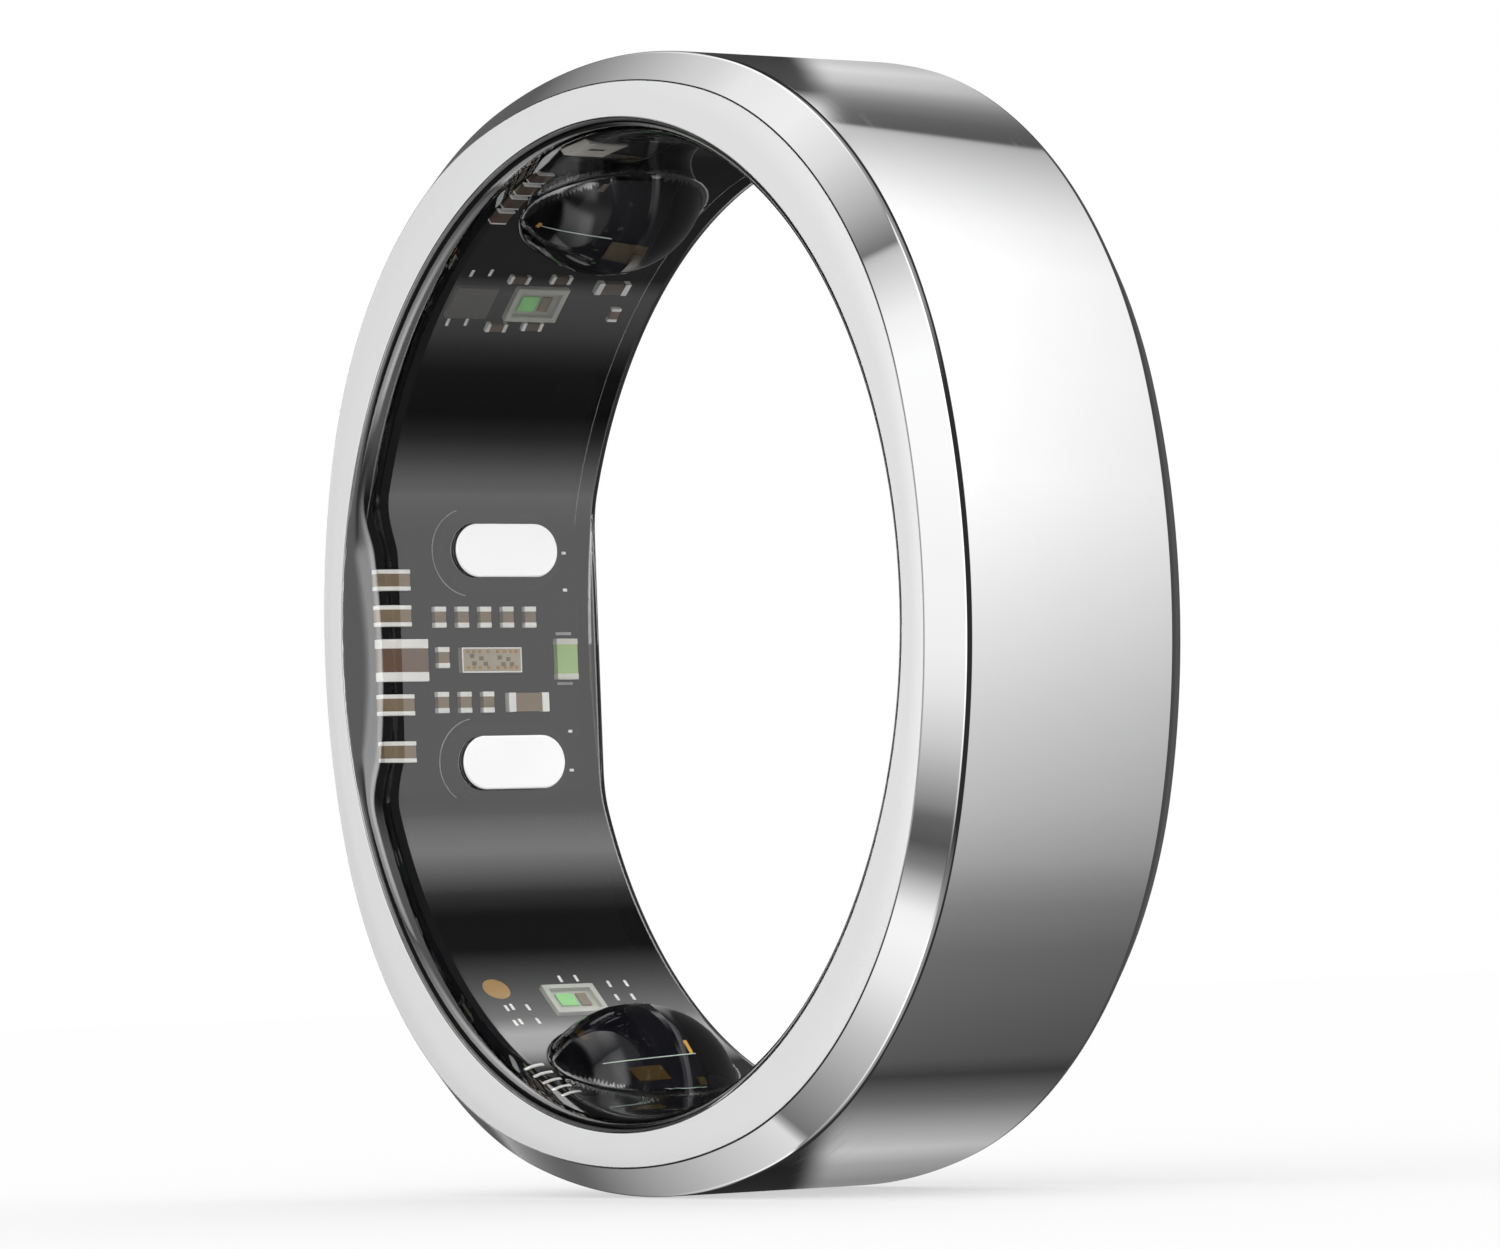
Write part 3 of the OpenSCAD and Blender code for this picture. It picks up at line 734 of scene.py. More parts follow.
@dataclass
class MetalShell:
    """The one-piece metal channel: band, chamfers, side faces and rim.

    A row of the side face is its share of the way outwards and its share of the bow. A row of
    the band is its share of the way from the middle plane to the chamfer.
    """

    ring: RingSizes = RING
    chamfer: float = 0.68
    band_edge: float = 0.22
    face_edge: float = 0.1
    rim_edge: float = 0.06
    face_bow: float = 8.0
    face_rows: tuple[Pair, ...] = ((0.02, 0.0), (0.45, 0.0), (0.65, 0.3), (0.8, 0.7), (0.97, 1.0))
    band_shares: tuple[float, ...] = (0.98, 0.6, 0.25)
    rim_steps: int = 7
    face_steps: int = 5
    band_steps: int = 9

    @property
    def face_end(self) -> float:
        """Distance from the outline to where the side face starts to turn."""
        return self.chamfer + self.face_edge * HALF_TURN_TANGENT

    def half_rows(self) -> list[Row]:
        """Lists the rows from the rim's inside to the middle of the band.

        Returns:
            The rows of one half, with heights from the middle plane.
        """
        top = self.ring.half_width
        rows = [Row(Base.RIM, 0.0, self.ring.channel_half, (-1, 0))]
        for out, up in arc(self.rim_edge, 180, 90, self.rim_steps):
            unit = (out / self.rim_edge, up / self.rim_edge)
            rows.append(Row(Base.RIM, self.rim_edge + out, top - self.rim_edge + up, unit))
        for share, bow in self.face_rows:
            lean = math.radians(bow * self.face_bow)
            rows.append(Row(Base.FACE, share, top, (math.sin(lean), math.cos(lean))))
        for out, up in arc(self.face_edge, 90 - self.face_bow, 45, self.face_steps):
            unit = (out / self.face_edge, up / self.face_edge)
            rows.append(Row(Base.OUTLINE, out - self.face_end, top - self.face_edge + up, unit))
        middle = top - self.chamfer - self.band_edge * HALF_TURN_TANGENT
        for out, up in arc(self.band_edge, 45, 0, self.band_steps):
            unit = (out / self.band_edge, up / self.band_edge)
            rows.append(Row(Base.OUTLINE, out - self.band_edge, middle + up, unit))
        rows += [Row(Base.OUTLINE, 0.0, middle * share, (1, 0)) for share in self.band_shares]
        return rows

    def build(self) -> bpy.types.Object:
        """Sweeps the cross-section round the outline.

        Returns:
            The shell, ready dressed.
        """
        points, normals = Outline(self.ring).stations()
        outward = points / np.linalg.norm(points, axis=1, keepdims=True)
        half = self.half_rows()
        back = [Row(row.base, row.reach, -row.height, (row.normal[0], -row.normal[1]))
                for row in reversed(half)]
        wall = self.ring.channel_half
        inside = [Row(Base.OUTLINE, -self.ring.shell_wall, height, (-1, 0))
                  for height in (-wall, wall)]
        rows = half + back + inside
        face_start = self.ring.rim_r + self.rim_edge
        spots, directions = [], []
        for row in rows:
            if row.base is Base.OUTLINE:
                flat, sideways = points + normals * row.reach, normals
            elif row.base is Base.RIM:
                flat, sideways = outward * (self.ring.rim_r + row.reach), outward
            else:
                inner, outer = outward * face_start, points - normals * self.face_end
                flat, sideways = inner + (outer - inner) * row.reach, outward
            height = np.full(len(flat), -row.height)
            spots.append(np.column_stack([flat[:, 0], height, flat[:, 1]]))
            side = sideways * row.normal[0]
            rise = np.full(len(flat), -row.normal[1])
            directions.append(np.column_stack([side[:, 0], rise, side[:, 1]]))
        count = len(rows)
        mesh = mesh_from("metal_shell", by_station(spots), loop_faces(count, len(points)))
        mesh.normals_split_custom_set_from_vertices(by_station(directions).tolist())
        first_inside = 2 * len(half) - 2
        two_finishes(mesh, SHELL, LINER,
                     lambda face: face % count == 0 or face % count >= first_inside)
        return dressed(make_object("metal_shell", mesh), SHELL, "polished_shell", "outer_shell")


@dataclass
class SensorDome:
    """One resin dome over a photodiode, round in both directions."""

    angle: float
    rise: float = 1.4
    long_radius: float = 2.12
    wide_radius: float = 2.62
    offset: float = 0.25
    half_turn: float = 13.0
    least_cosine: float = 0.9

    def wall(self, ring: RingSizes, theta: np.ndarray, along: np.ndarray) -> np.ndarray:
        """Gives the dome's distance from the ring's axis.

        Args:
            ring: The ring's sizes.
            theta: Angles round the ring, in radians.
            along: Places along the ring's axis.

        Returns:
            The distances, and the board's own where there is no dome.
        """
        turn = theta - math.radians(self.angle)
        middle = ring.bore_r - self.rise + self.long_radius
        bow = np.clip(self.wide_radius ** 2 - (along - self.offset) ** 2, 0, None)
        radius = self.long_radius - self.wide_radius + np.sqrt(bow)
        room = radius * np.abs(radius) - (middle * np.sin(turn)) ** 2
        away = middle * np.cos(turn) - np.sqrt(np.clip(room, 0, None))
        return np.where((room > 0) & (np.cos(turn) > self.least_cosine), away, ring.board_r)


@dataclass
class ResinLining:
    """The clear lining: round wall, flat, eased lips and the two domes, as one casting."""

    ring: RingSizes = RING
    domes: tuple[SensorDome, ...] = (SensorDome(114.5), SensorDome(245.2))
    coarse_step: float = 0.9
    fine_step: float = 0.2
    wall_rows: int = 96
    root: float = 0.08
    lip_rows: int = 18
    slope_tilt: float = 66.0
    arc_tilt: float = 47.0
    arc_r: float = 0.9
    rear_lip: float = 0.2
    flat_blend: float = 0.16
    flat_gain: float = 2.2
    face_inset: float = 0.02
    rim_overlap: float = 0.004
    bury: float = 0.02
    dome_sharp: float = 75.0

    def wall(self, theta: np.ndarray, flat: float, radius: float) -> np.ndarray:
        """Gives the wall's distance from the ring's axis, round or on the flat.

        Args:
            theta: Angles in radians.
            flat: Distance of the flat from the axis.
            radius: Radius of the round part.

        Returns:
            One distance for each angle.
        """
        return soft_min(np.full_like(theta, radius), flat / flat_facing(theta), self.flat_blend)

    def flat_lip(self) -> tuple[np.ndarray, np.ndarray]:
        """Draws the lip before the flat: a gentle slope that ends in an arc.

        Returns:
            Shares of the drop to the flat, and distances from the face, one for each row.
        """
        half = self.lip_rows // 2
        full = self.ring.rim_r - self.ring.flat_x
        tilt = np.radians(np.concatenate([
            np.linspace(self.slope_tilt, self.arc_tilt, half),
            np.linspace(self.arc_tilt, 0, self.lip_rows - half + 1)[1:]]))
        middle = (tilt[1:] + tilt[:-1]) / 2
        turned = self.arc_r * (tilt[:-1] - tilt[1:])
        sloped = full - np.sum((turned * np.sin(middle))[half - 1:])
        slope = np.sin(middle[:half - 1])
        turned[:half - 1] = sloped / slope.sum()
        drop = np.concatenate([[0.0], np.cumsum(turned * np.sin(middle))]) / full
        away = np.concatenate([[0.0], np.cumsum(turned * np.cos(middle))])
        return drop, away

    def angles(self) -> np.ndarray:
        """Spaces the stations round the ring, closer together at the domes.

        Returns:
            The angles in radians.
        """
        parts, start = [], 0.0
        for dome in self.domes:
            low, high = dome.angle - dome.half_turn, dome.angle + dome.half_turn
            parts.append(np.arange(start, low, self.coarse_step))
            parts.append(np.arange(low, high, self.fine_step))
            start = high
        parts.append(np.arange(start, 360 - self.coarse_step / 2, self.coarse_step))
        return np.radians(np.concatenate(parts))

    def build(self) -> bpy.types.Object:
        """Makes the lining as a closed grid.

        Returns:
            The lining, ready dressed.
        """
        ring = self.ring
        theta = self.angles()
        inner = self.wall(theta, ring.flat_x, ring.bore_r)
        behind = np.minimum(ring.board_r, ring.board_x / flat_facing(theta)) + self.bury
        flatness = np.clip((ring.bore_r - inner) / ring.flat_rise * self.flat_gain, 0, 1)
        drop, away = self.flat_lip()
        lip = ring.round_lip + (away[-1] - ring.round_lip) * flatness
        face = ring.half_width - self.face_inset
        rim = ring.rim_r + self.rim_overlap
        front = []
        for row, turn in enumerate(np.linspace(0, math.pi / 2, self.lip_rows)):
            fall = math.sin(turn) + (drop[row] - math.sin(turn)) * flatness
            out = ring.round_lip * (1 - math.cos(turn))
            front.append((rim - (rim - inner) * fall, -face + out + (away[row] - out) * flatness))
        wall_rows = []
        start, end = -face + lip, face - self.rear_lip
        for share in np.linspace(0, 1, self.wall_rows)[1:-1]:
            along = start + (end - start) * share
            radius = inner
            for dome in self.domes:
                radius = soft_min(radius, dome.wall(ring, theta, along), self.root)
            wall_rows.append((radius, along))
        rear = [(inner + self.rear_lip * (1 - math.cos(turn)), end + self.rear_lip * math.sin(turn))
                for turn in np.linspace(0, math.pi / 2, self.lip_rows)]
        rear.append((rim, face))
        step = ring.channel_half - self.bury
        closing = [(rim, step), (behind, step), (behind, -step), (rim, -step)]
        rows = front + wall_rows + rear + closing
        place = round_rows(rows, theta)
        faces = loop_faces(len(rows), len(theta))
        mesh = mesh_from("resin_lining", place, faces, self.dome_sharp)
        reach = np.hypot(place[:, 0], place[:, 2]).reshape(len(theta), len(rows))
        domed = reach < np.minimum(inner, ring.bore_r)[:, None] - self.root
        two_finishes(mesh, RESIN, DOME, lambda face: domed[face // len(rows), face % len(rows)])
        return dressed(make_object("resin_lining", mesh), RESIN, "clear_resin", "clear_resin")


@dataclass
class CircuitBoard:
    """The black board: a thin sheet bent round the bore, flat behind the contacts."""

    ring: RingSizes = RING
    start: float = 84.0
    end: float = 276.0
    stations: int = 480
    corner: float = 0.02

    def build(self) -> bpy.types.Object:
        """Bends the sheet.

        Returns:
            The board, ready dressed.
        """
        ring = self.ring
        theta = np.radians(np.linspace(self.start, self.end, self.stations))
        inner = np.minimum(ring.board_r, ring.board_x / flat_facing(theta))
        half, thick, ease = ring.board_half, ring.board_thick, self.corner
        section = [(0, -half + ease), (0, half - ease), (ease, half), (thick, half),
                   (thick, -half), (ease, -half)]
        place = round_rows([(inner + depth, along) for depth, along in section], theta)
        faces = loop_faces(len(section), self.stations, closed=False)
        mesh = mesh_from("circuit_board", place, faces)
        return dressed(make_object("circuit_board", mesh), BOARD, "board_black", "flex_board")


# Chips


@dataclass(frozen=True)
class Spot:
    """Where a chip stands: its seat in millimetres and its turn about the ring's axis."""

    seat: tuple[float, float, float]
    turn: float


def on_board(angle: float, along_share: float, long: float) -> Spot:
    """Seats a chip on the round part of the board.

    Args:
        angle: Angle round the ring.
        along_share: Place along the axis, as a share of the board's half width.
        long: The chip's length round the ring, whose ends touch the board.

    Returns:
        The chip's spot.
    """
    seat = math.sqrt(RING.board_r ** 2 - long ** 2 / 4) - RING.solder
    turn = math.radians(angle)
    place = (seat * math.cos(turn), along_share * RING.board_half, seat * math.sin(turn))
    return Spot(place, -90 - angle)


def on_flat(up_share: float, along_share: float) -> Spot:
    """Seats a chip on the flat part of the board.

    Args:
        up_share: Height, as a share of the contacts' spacing.
        along_share: Place along the axis, as a share of the board's half width.

    Returns:
        The chip's spot.
    """
    place = (-(RING.board_x - RING.solder), along_share * RING.board_half,
             up_share * RING.contact_spacing)
    return Spot(place, 90)


def bevelled_block(size: Triple, bevel: float, middle: Triple = (0, 0, 0)) -> bmesh.types.BMesh:
    """Makes a block that stands on z = 0, with softened edges.

    Args:
        size: Its three sizes.
        bevel: How far its edges are cut back.
        middle: Where the middle of its foot is.

    Returns:
        The block as an open bmesh, in metres.
    """
    block = bmesh.new()
    bmesh.ops.create_cube(block, size=1.0)
    bmesh.ops.scale(block, vec=Vector(size) * MM, verts=block.verts)
    shift = Vector(middle) + Vector((0, 0, size[2] / 2))
    bmesh.ops.translate(block, vec=shift * MM, verts=block.verts)
    bmesh.ops.bevel(block, geom=block.edges[:], offset=bevel * MM, segments=2,
                    profile=BEVEL_PROFILE, affect="EDGES")
    return block


def joined_mesh(name: str, parts: list[bmesh.types.BMesh]) -> bpy.types.Mesh:
    """Puts several bmeshes in one mesh and frees them.

    Args:
        name: Name of the mesh.
        parts: The bmeshes.

    Returns:
        The mesh.
    """
    whole = bmesh.new()
    for part in parts:
        piece = bpy.data.meshes.new("part")
        part.to_mesh(piece)
        part.free()
        whole.from_mesh(piece)
        bpy.data.meshes.remove(piece)
    mesh = bpy.data.meshes.new(name)
    whole.to_mesh(mesh)
    whole.free()
    return mesh


def placing_tree() -> bpy.types.NodeTree:
    """Builds the geometry tree that sets one part on each of a list of points.

    Returns:
        The tree, with inputs for the part and its finish.
    """
    tree = bpy.data.node_groups.new("parts_on_board", "GeometryNodeTree")
    face = tree.interface
    face.new_socket("Geometry", in_out="INPUT", socket_type="NodeSocketGeometry")
    face.new_socket("Part", in_out="INPUT", socket_type="NodeSocketObject")
    face.new_socket("Part Size", in_out="INPUT", socket_type="NodeSocketFloat")
    face.new_socket("Finish", in_out="INPUT", socket_type="NodeSocketMaterial")
    face.new_socket("Geometry", in_out="OUTPUT", socket_type="NodeSocketGeometry")
    bench = Bench(tree)
    source = bench.add("NodeGroupInput")
    part = bench.add("GeometryNodeObjectInfo", {"Object": source.outputs["Part"],
                                                "As Instance": True})
    turn = bench.add("GeometryNodeInputNamedAttribute", {"Name": "turn"}, data_type="FLOAT")
    euler = bench.add("ShaderNodeCombineXYZ", {"Y": turn.outputs["Attribute"]})
    points = bench.add("GeometryNodeInstanceOnPoints",
                       {"Points": source.outputs["Geometry"], "Instance": part.outputs["Geometry"],
                        "Rotation": euler.outputs[0], "Scale": source.outputs["Part Size"]})
    real = bench.add("GeometryNodeRealizeInstances", {"Geometry": points.outputs[0]})
    finish = bench.add("GeometryNodeSetMaterial", {"Geometry": real.outputs[0],
                                                   "Material": source.outputs["Finish"]})
    bench.add("NodeGroupOutput", {"Geometry": finish.outputs[0]})
    return tree


PLACING = placing_tree()


def set_on_board(name: str, part: bpy.types.Mesh, spots: list[Spot], finish: Finish, slot: str,
                 *nodes: str) -> bpy.types.Object:
    """Sets copies of a part on their spots with the geometry tree, as one plain mesh.

    Args:
        name: Name of the piece.
        part: The part's mesh, standing on its own origin.
        spots: Where the copies stand.
        finish: Their finish.
        slot: Their material slot in the record.
        nodes: The construction nodes that they replace.

    Returns:
        The piece, ready dressed.
    """
    pattern = make_object(name + "_pattern", part)
    points = bpy.data.meshes.new(name + "_spots")
    points.from_pydata([Vector(spot.seat) * MM for spot in spots], [], [])
    turns = points.attributes.new("turn", "FLOAT", "POINT")
    turns.data.foreach_set("value", [math.radians(spot.turn) for spot in spots])
    carrier = make_object(name + "_carrier", points)
    modifier = carrier.modifiers.new("parts", "NODES")
    modifier.node_group = PLACING
    values = {"Part": pattern, "Part Size": 1.0, "Finish": finish.material()}
    for item in PLACING.interface.items_tree:
        if item.in_out == "INPUT" and item.name in values:
            modifier[item.identifier] = values[item.name]
    graph = bpy.context.evaluated_depsgraph_get()
    mesh = bpy.data.meshes.new_from_object(carrier.evaluated_get(graph))
    mesh.name = name
    for spare in (carrier, pattern):
        bpy.data.objects.remove(spare)
    return dressed(make_object(name, mesh), finish, slot, *nodes)


def blocks_on_board(name: str, blocks: list[tuple], spots: list[Spot], finish: Finish, slot: str,
                    *nodes: str) -> bpy.types.Object:
    """Sets a part made of bevelled blocks on its spots.

    Args:
        name: Name of the piece.
        blocks: Size, bevel and, if it isn't at the seat, the foot's middle of each block.
        spots: Where the copies stand.
        finish: Their finish.
        slot: Their material slot in the record.
        nodes: The construction nodes that they replace.

    Returns:
        The piece, ready dressed.
    """
    part = joined_mesh(name, [bevelled_block(*block) for block in blocks])
    return set_on_board(name, part, spots, finish, slot, *nodes)


@dataclass(frozen=True)
class ChipKind:
    """A two-ended chip: a ceramic middle and two metal ends, which stand a little proud."""

    name: str
    size: Triple
    end: float
    body: Finish
    cap: Finish
    body_node: str
    cap_node: str
    body_slot: str
    cap_slot: str
    along_axis: bool = False
    bevel: float = 0.012
    proud: float = 0.008

    def block(self, long: float, wide: float, high: float, at: float) -> tuple:
        """Describes one block of the chip, turned to lie along or across the ring's axis.

        Args:
            long: Its length, from one end of the chip to the other.
            wide: Its width.
            high: Its height.
            at: Where its middle is, along the chip.

        Returns:
            Its size, its bevel and its foot's middle.
        """
        if self.along_axis:
            return (wide, long, high), self.bevel, (0, at, 0)
        return (long, wide, high), self.bevel, (at, 0, 0)

    def build(self, spots: list[Spot]) -> None:
        """Makes the ceramic middles and the metal ends at their spots.

        Args:
            spots: Where they stand.
        """
        long, wide, high = self.size
        middle = self.block(long - 2 * self.end + 2 * self.bevel, wide - 2 * self.proud,
                            high - self.proud, 0)
        at = (long - self.end) / 2
        ends = [self.block(self.end, wide, high, side * at) for side in (-1, 1)]
        blocks_on_board(self.name, [middle], spots, self.body, self.body_slot, self.body_node)
        blocks_on_board(self.name + "_ends", ends, spots, self.cap, self.cap_slot, self.cap_node)


@dataclass
class ChipLayout:
    """Every two-ended chip on the board."""

    row_start: float = -0.395
    row_pitch: float = 0.2268

    def small_spots(self) -> list[Spot]:
        """Lists the rows of small capacitors on the flat: five, one and three.

        Returns:
            Their spots.
        """
        rows = ((0.172, self.row_start, 5), (-0.018, -0.375, 1), (-0.229, self.row_start, 3))
        return [on_flat(up, start + place * self.row_pitch) for up, start, count in rows
                for place in range(count)]

    def edge_spots(self) -> list[Spot]:
        """Lists the capacitors by the front edge of the flat."""
        return [on_flat(up, -0.836) for up in (0.346, 0.178, -0.239, -0.459)]

    def build(self) -> None:
        """Makes all of them."""
        tin = ("cap_ends",)
        kinds = [
            (ChipKind("small_capacitors", (0.5, 0.32, 0.25), 0.12, CERAMIC, TIN,
                      "small_capacitor_bodies", "small_capacitor_ends", "cap_ceramic", *tin),
             self.small_spots()),
            (ChipKind("edge_capacitors", (0.5, 0.86, 0.25), 0.1, CERAMIC, TIN,
                      "edge_capacitor_bodies", "edge_capacitor_ends", "cap_ceramic", *tin),
             self.edge_spots()),
            (ChipKind("upper_edge_capacitors", (0.5, 0.42, 0.25), 0.05, BROWN, TIN,
                      "edge_capacitor_bodies", "edge_capacitor_ends", "cap_ceramic", *tin),
             [on_board(angle, -0.86, 0.5) for angle in (117.6, 114.4, 111.2, 108.0)]),
            (ChipKind("inductor", (1.0, 1.28, 0.25), 0.22, RED, TIN, "power_inductor",
                      "power_inductor_ends", "inductor_body", *tin), [on_flat(-0.03, -0.757)]),
            (ChipKind("large_capacitor", (1.14, 0.46, 0.3), 0.2, CERAMIC, TIN, "bulk_capacitor",
                      "bulk_capacitor_ends", "cap_ceramic", *tin, along_axis=True),
             [on_flat(-0.231, 0.46)]),
            (ChipKind("antenna", (0.98, 0.6, 0.28), 0.14, GREEN, WHITE, "chip_antenna",
                      "chip_antenna_ends", "antenna_body", "antenna_ends"),
             [on_flat(-0.028, 0.87)]),
            (ChipKind("sensor_capacitors", (0.56, 0.24, 0.2), 0.1, BROWN, TIN,
                      "sensor_capacitor_bodies", "sensor_capacitor_ends", "inductor_body", *tin,
                      along_axis=True),
             [on_board(angle, share, 0.24) for angle, share in
              ((129.3, -0.28), (129.1, 0.13), (137.0, -0.28), (136.7, 0.07))]),
            (ChipKind("supply_capacitor_body", (0.9, 0.36, 0.3), 0.16, BROWN, TIN,
                      "supply_capacitor", "supply_capacitor_ends", "inductor_body", *tin,
                      along_axis=True), [on_board(130.1, 0.67, 0.36)]),
            (ChipKind("resistor", (0.4, 0.26, 0.2), 0.08, RED, TIN, "sense_resistor",
                      "sense_resistor_ends", "inductor_body", *tin),
             [on_board(134.5, 0.83, 0.4)]),
        ]
        for kind, spots in kinds:
            kind.build(spots)


@dataclass
class LightPackage:
    """A small tray that holds a green and a bronze light die."""

    name: str
    angle: float
    along_share: float
    size: Triple = (1.02, 1.44, 0.3)
    wall: float = 0.16
    floor: float = 0.1
    slope: float = 0.03
    die_long: float = 0.62
    die_high: float = 0.1
    bevel: float = 0.03
    die_bevel: float = 0.008

    def tray(self) -> bpy.types.Mesh:
        """Makes the tray with a sloped inside.

        Returns:
            The tray's mesh, in metres.
        """
        box = bevelled_block(self.size, self.bevel)
        top = max(box.faces, key=lambda face: (round(face.normal.z, 3), face.calc_area()))
        bmesh.ops.inset_region(box, faces=[top], thickness=self.wall * MM)
        bmesh.ops.inset_region(box, faces=[top], thickness=self.slope * MM,
                               depth=(self.floor - self.size[2]) * MM)
        return joined_mesh(self.name, [box])

    def build(self) -> None:
        """Makes the tray and its two dies."""
        spot = on_board(self.angle, self.along_share, self.size[0])
        set_on_board(self.name, self.tray(), [spot], PACKAGE, "led_case", self.name + "_package")
        inside = (self.size[0] - 2 * self.wall, self.size[1] - 2 * self.wall)
        dies = ((0.42, -0.2, GREEN_DIE, "_green_die"), (0.24, 0.22, BRONZE_DIE, "_die"))
        for wide, shift, finish, tail in dies:
            size = (self.die_long * inside[0], wide * inside[1], self.die_high)
            block = (size, self.die_bevel, (0, shift * inside[1], self.floor))
            blocks_on_board(self.name + tail, [block], [spot], finish, "led_die",
                            self.name + "_dies")


@dataclass
class Contact:
    """One charging contact: a bright pill that stands out of the flat.

    Its side has painted reflection: dark rings between the heights in ring_shares, which are
    shares of its height, stand in for the dark surroundings that the plated side mirrors. Its
    collar has a fine seam at the front only, drawn light grey where its edge catches the light:
    a painted highlight.
    """

    name: str
    side: int
    long: float = 2.86
    wide: float = 1.28
    proud: float = 0.15
    edge: float = 0.05
    steps: int = 48
    edge_steps: int = 7
    ring_shares: tuple[float, ...] = (0.0, 0.4, 0.48, 0.66, 0.72)
    seam_out: float = 0.42
    seam_wide: float = 0.025
    seam_high: float = 0.015
    seam_raise: float = 0.005
    seam_turn: Pair = (100.0, 260.0)
    seam_sharp: float = 50.0

    def points(self, rows: list[Triple], angles: np.ndarray) -> list[np.ndarray]:
        """Places rows that run round the contact.

        Args:
            rows: Radius, height over the board and shift along the ring's axis of each row.
            angles: Angles round the contact, in radians.

        Returns:
            The points of each row.
        """
        spots = []
        for radius, height, shift in rows:
            up, along = radius * np.sin(angles), radius * np.cos(angles) + shift
            spots.append(np.column_stack([
                np.full_like(up, height - RING.board_x), along + RING.contact_offset,
                up + self.side * RING.contact_spacing / 2 - RING.contact_drop]))
        return spots

    def build(self) -> None:
        """Makes the pill with a rounded top edge, and the light seam at the collar's front, a
        painted highlight.
        """
        top = RING.cover + self.proud
        angles = np.linspace(0, 2 * math.pi, self.steps, endpoint=False)
        straight = (self.long - self.wide) / 2
        half_way = np.where(np.cos(angles) >= 0, straight, -straight)
        rows = [(0.0, share * top) for share in self.ring_shares]
        rows += [(out - self.edge, top - self.edge + up)
                 for out, up in arc(self.edge, 0, 90, self.edge_steps)]
        rows = [(self.wide / 2 + inset, height, half_way) for inset, height in rows]
        count = len(rows)
        faces = []
        for station in range(self.steps):
            after = (station + 1) % self.steps
            faces += [(station * count + row, station * count + row + 1, after * count + row + 1,
                       after * count + row) for row in range(count - 1)]
        faces.append(tuple(station * count + count - 1 for station in range(self.steps)))
        faces.append(tuple(station * count for station in range(self.steps - 1, -1, -1)))
        mesh = mesh_from(self.name + "_pill", by_station(self.points(rows, angles)), faces)
        # Every other ring on the side takes the near-black painted reflection.
        painted_reflection_rows = range(0, len(self.ring_shares), 2)
        sides = self.steps * (count - 1)
        two_finishes(mesh, CONTACT, SIDE_PAINTED_REFLECTION,
                     lambda face: face < sides and face % (count - 1) in painted_reflection_rows)
        dressed(make_object(self.name + "_pill", mesh), CONTACT, "contact_plate", self.name)
        self.seam(straight)

    def seam(self, straight: float) -> None:
        """Draws the fine seam that runs round the front end of the collar, light grey as a painted
        highlight of the collar's edge.

        Args:
            straight: Half of the pill's straight length.
        """
        angles = np.radians(np.linspace(*self.seam_turn, self.steps))
        inner = self.wide / 2 + self.seam_out
        outer = inner + self.seam_wide
        low, high = self.seam_raise, self.seam_high + self.seam_raise
        rows = [(inner, low, -straight), (inner, high, -straight), (outer, high, -straight),
                (outer, low, -straight)]
        faces = loop_faces(len(rows), self.steps, closed=False)
        mesh = mesh_from(self.name + "_seam", by_station(self.points(rows, angles)), faces,
                         self.seam_sharp)
        # The seam's light grey is a painted highlight on the collar's front edge.
        dressed(make_object(self.name + "_seam", mesh), GREY_END_AND_SEAM_HIGHLIGHT, "collar")


@dataclass
class Photodiode:
    """A dark sensor under a dome, with fine light lines, amber places and gold bits on it.

    The light lines are painted highlights of the sensor's lit edges, and the lower sensor's amber
    place is a painted brownish sheen. A line is its place across the sensor, its middle and its
    length along the ring's axis. An amber place or a gold bit is the same, with its width before
    its length.
    """

    name: str
    angle: float
    along: float
    lines: tuple[Triple, ...]
    amber: tuple[tuple[float, float, float, float], ...]
    gold: tuple[tuple[float, float, float, float], ...]
    size: Triple = (2.3, 1.9, 0.26)
    bevel: float = 0.03
    line_wide: float = 0.013
    line_bevel: float = 0.004

    def build(self) -> None:
        """Makes the sensor, its painted edge highlights, its amber places and its gold bits."""
        spot = [on_board(self.angle, self.along / RING.board_half, self.size[0])]
        blocks_on_board(self.name + "_chip", [(self.size, self.bevel)], spot, DIODE, "photodiode",
                        self.name)
        lines = [(out, middle, self.line_wide, reach) for out, middle, reach in self.lines]
        for tail, sizes, finish in (("_lines", lines, EDGE_HIGHLIGHT), ("_amber", self.amber, AMBER_AND_SHEEN),
                                    ("_gold", self.gold, GOLD)):
            blocks = [((wide, long, self.line_wide), self.line_bevel, (out, middle, self.size[2]))
                      for out, middle, wide, long in sizes]
            blocks_on_board(self.name + tail, blocks, spot, finish, "photodiode")


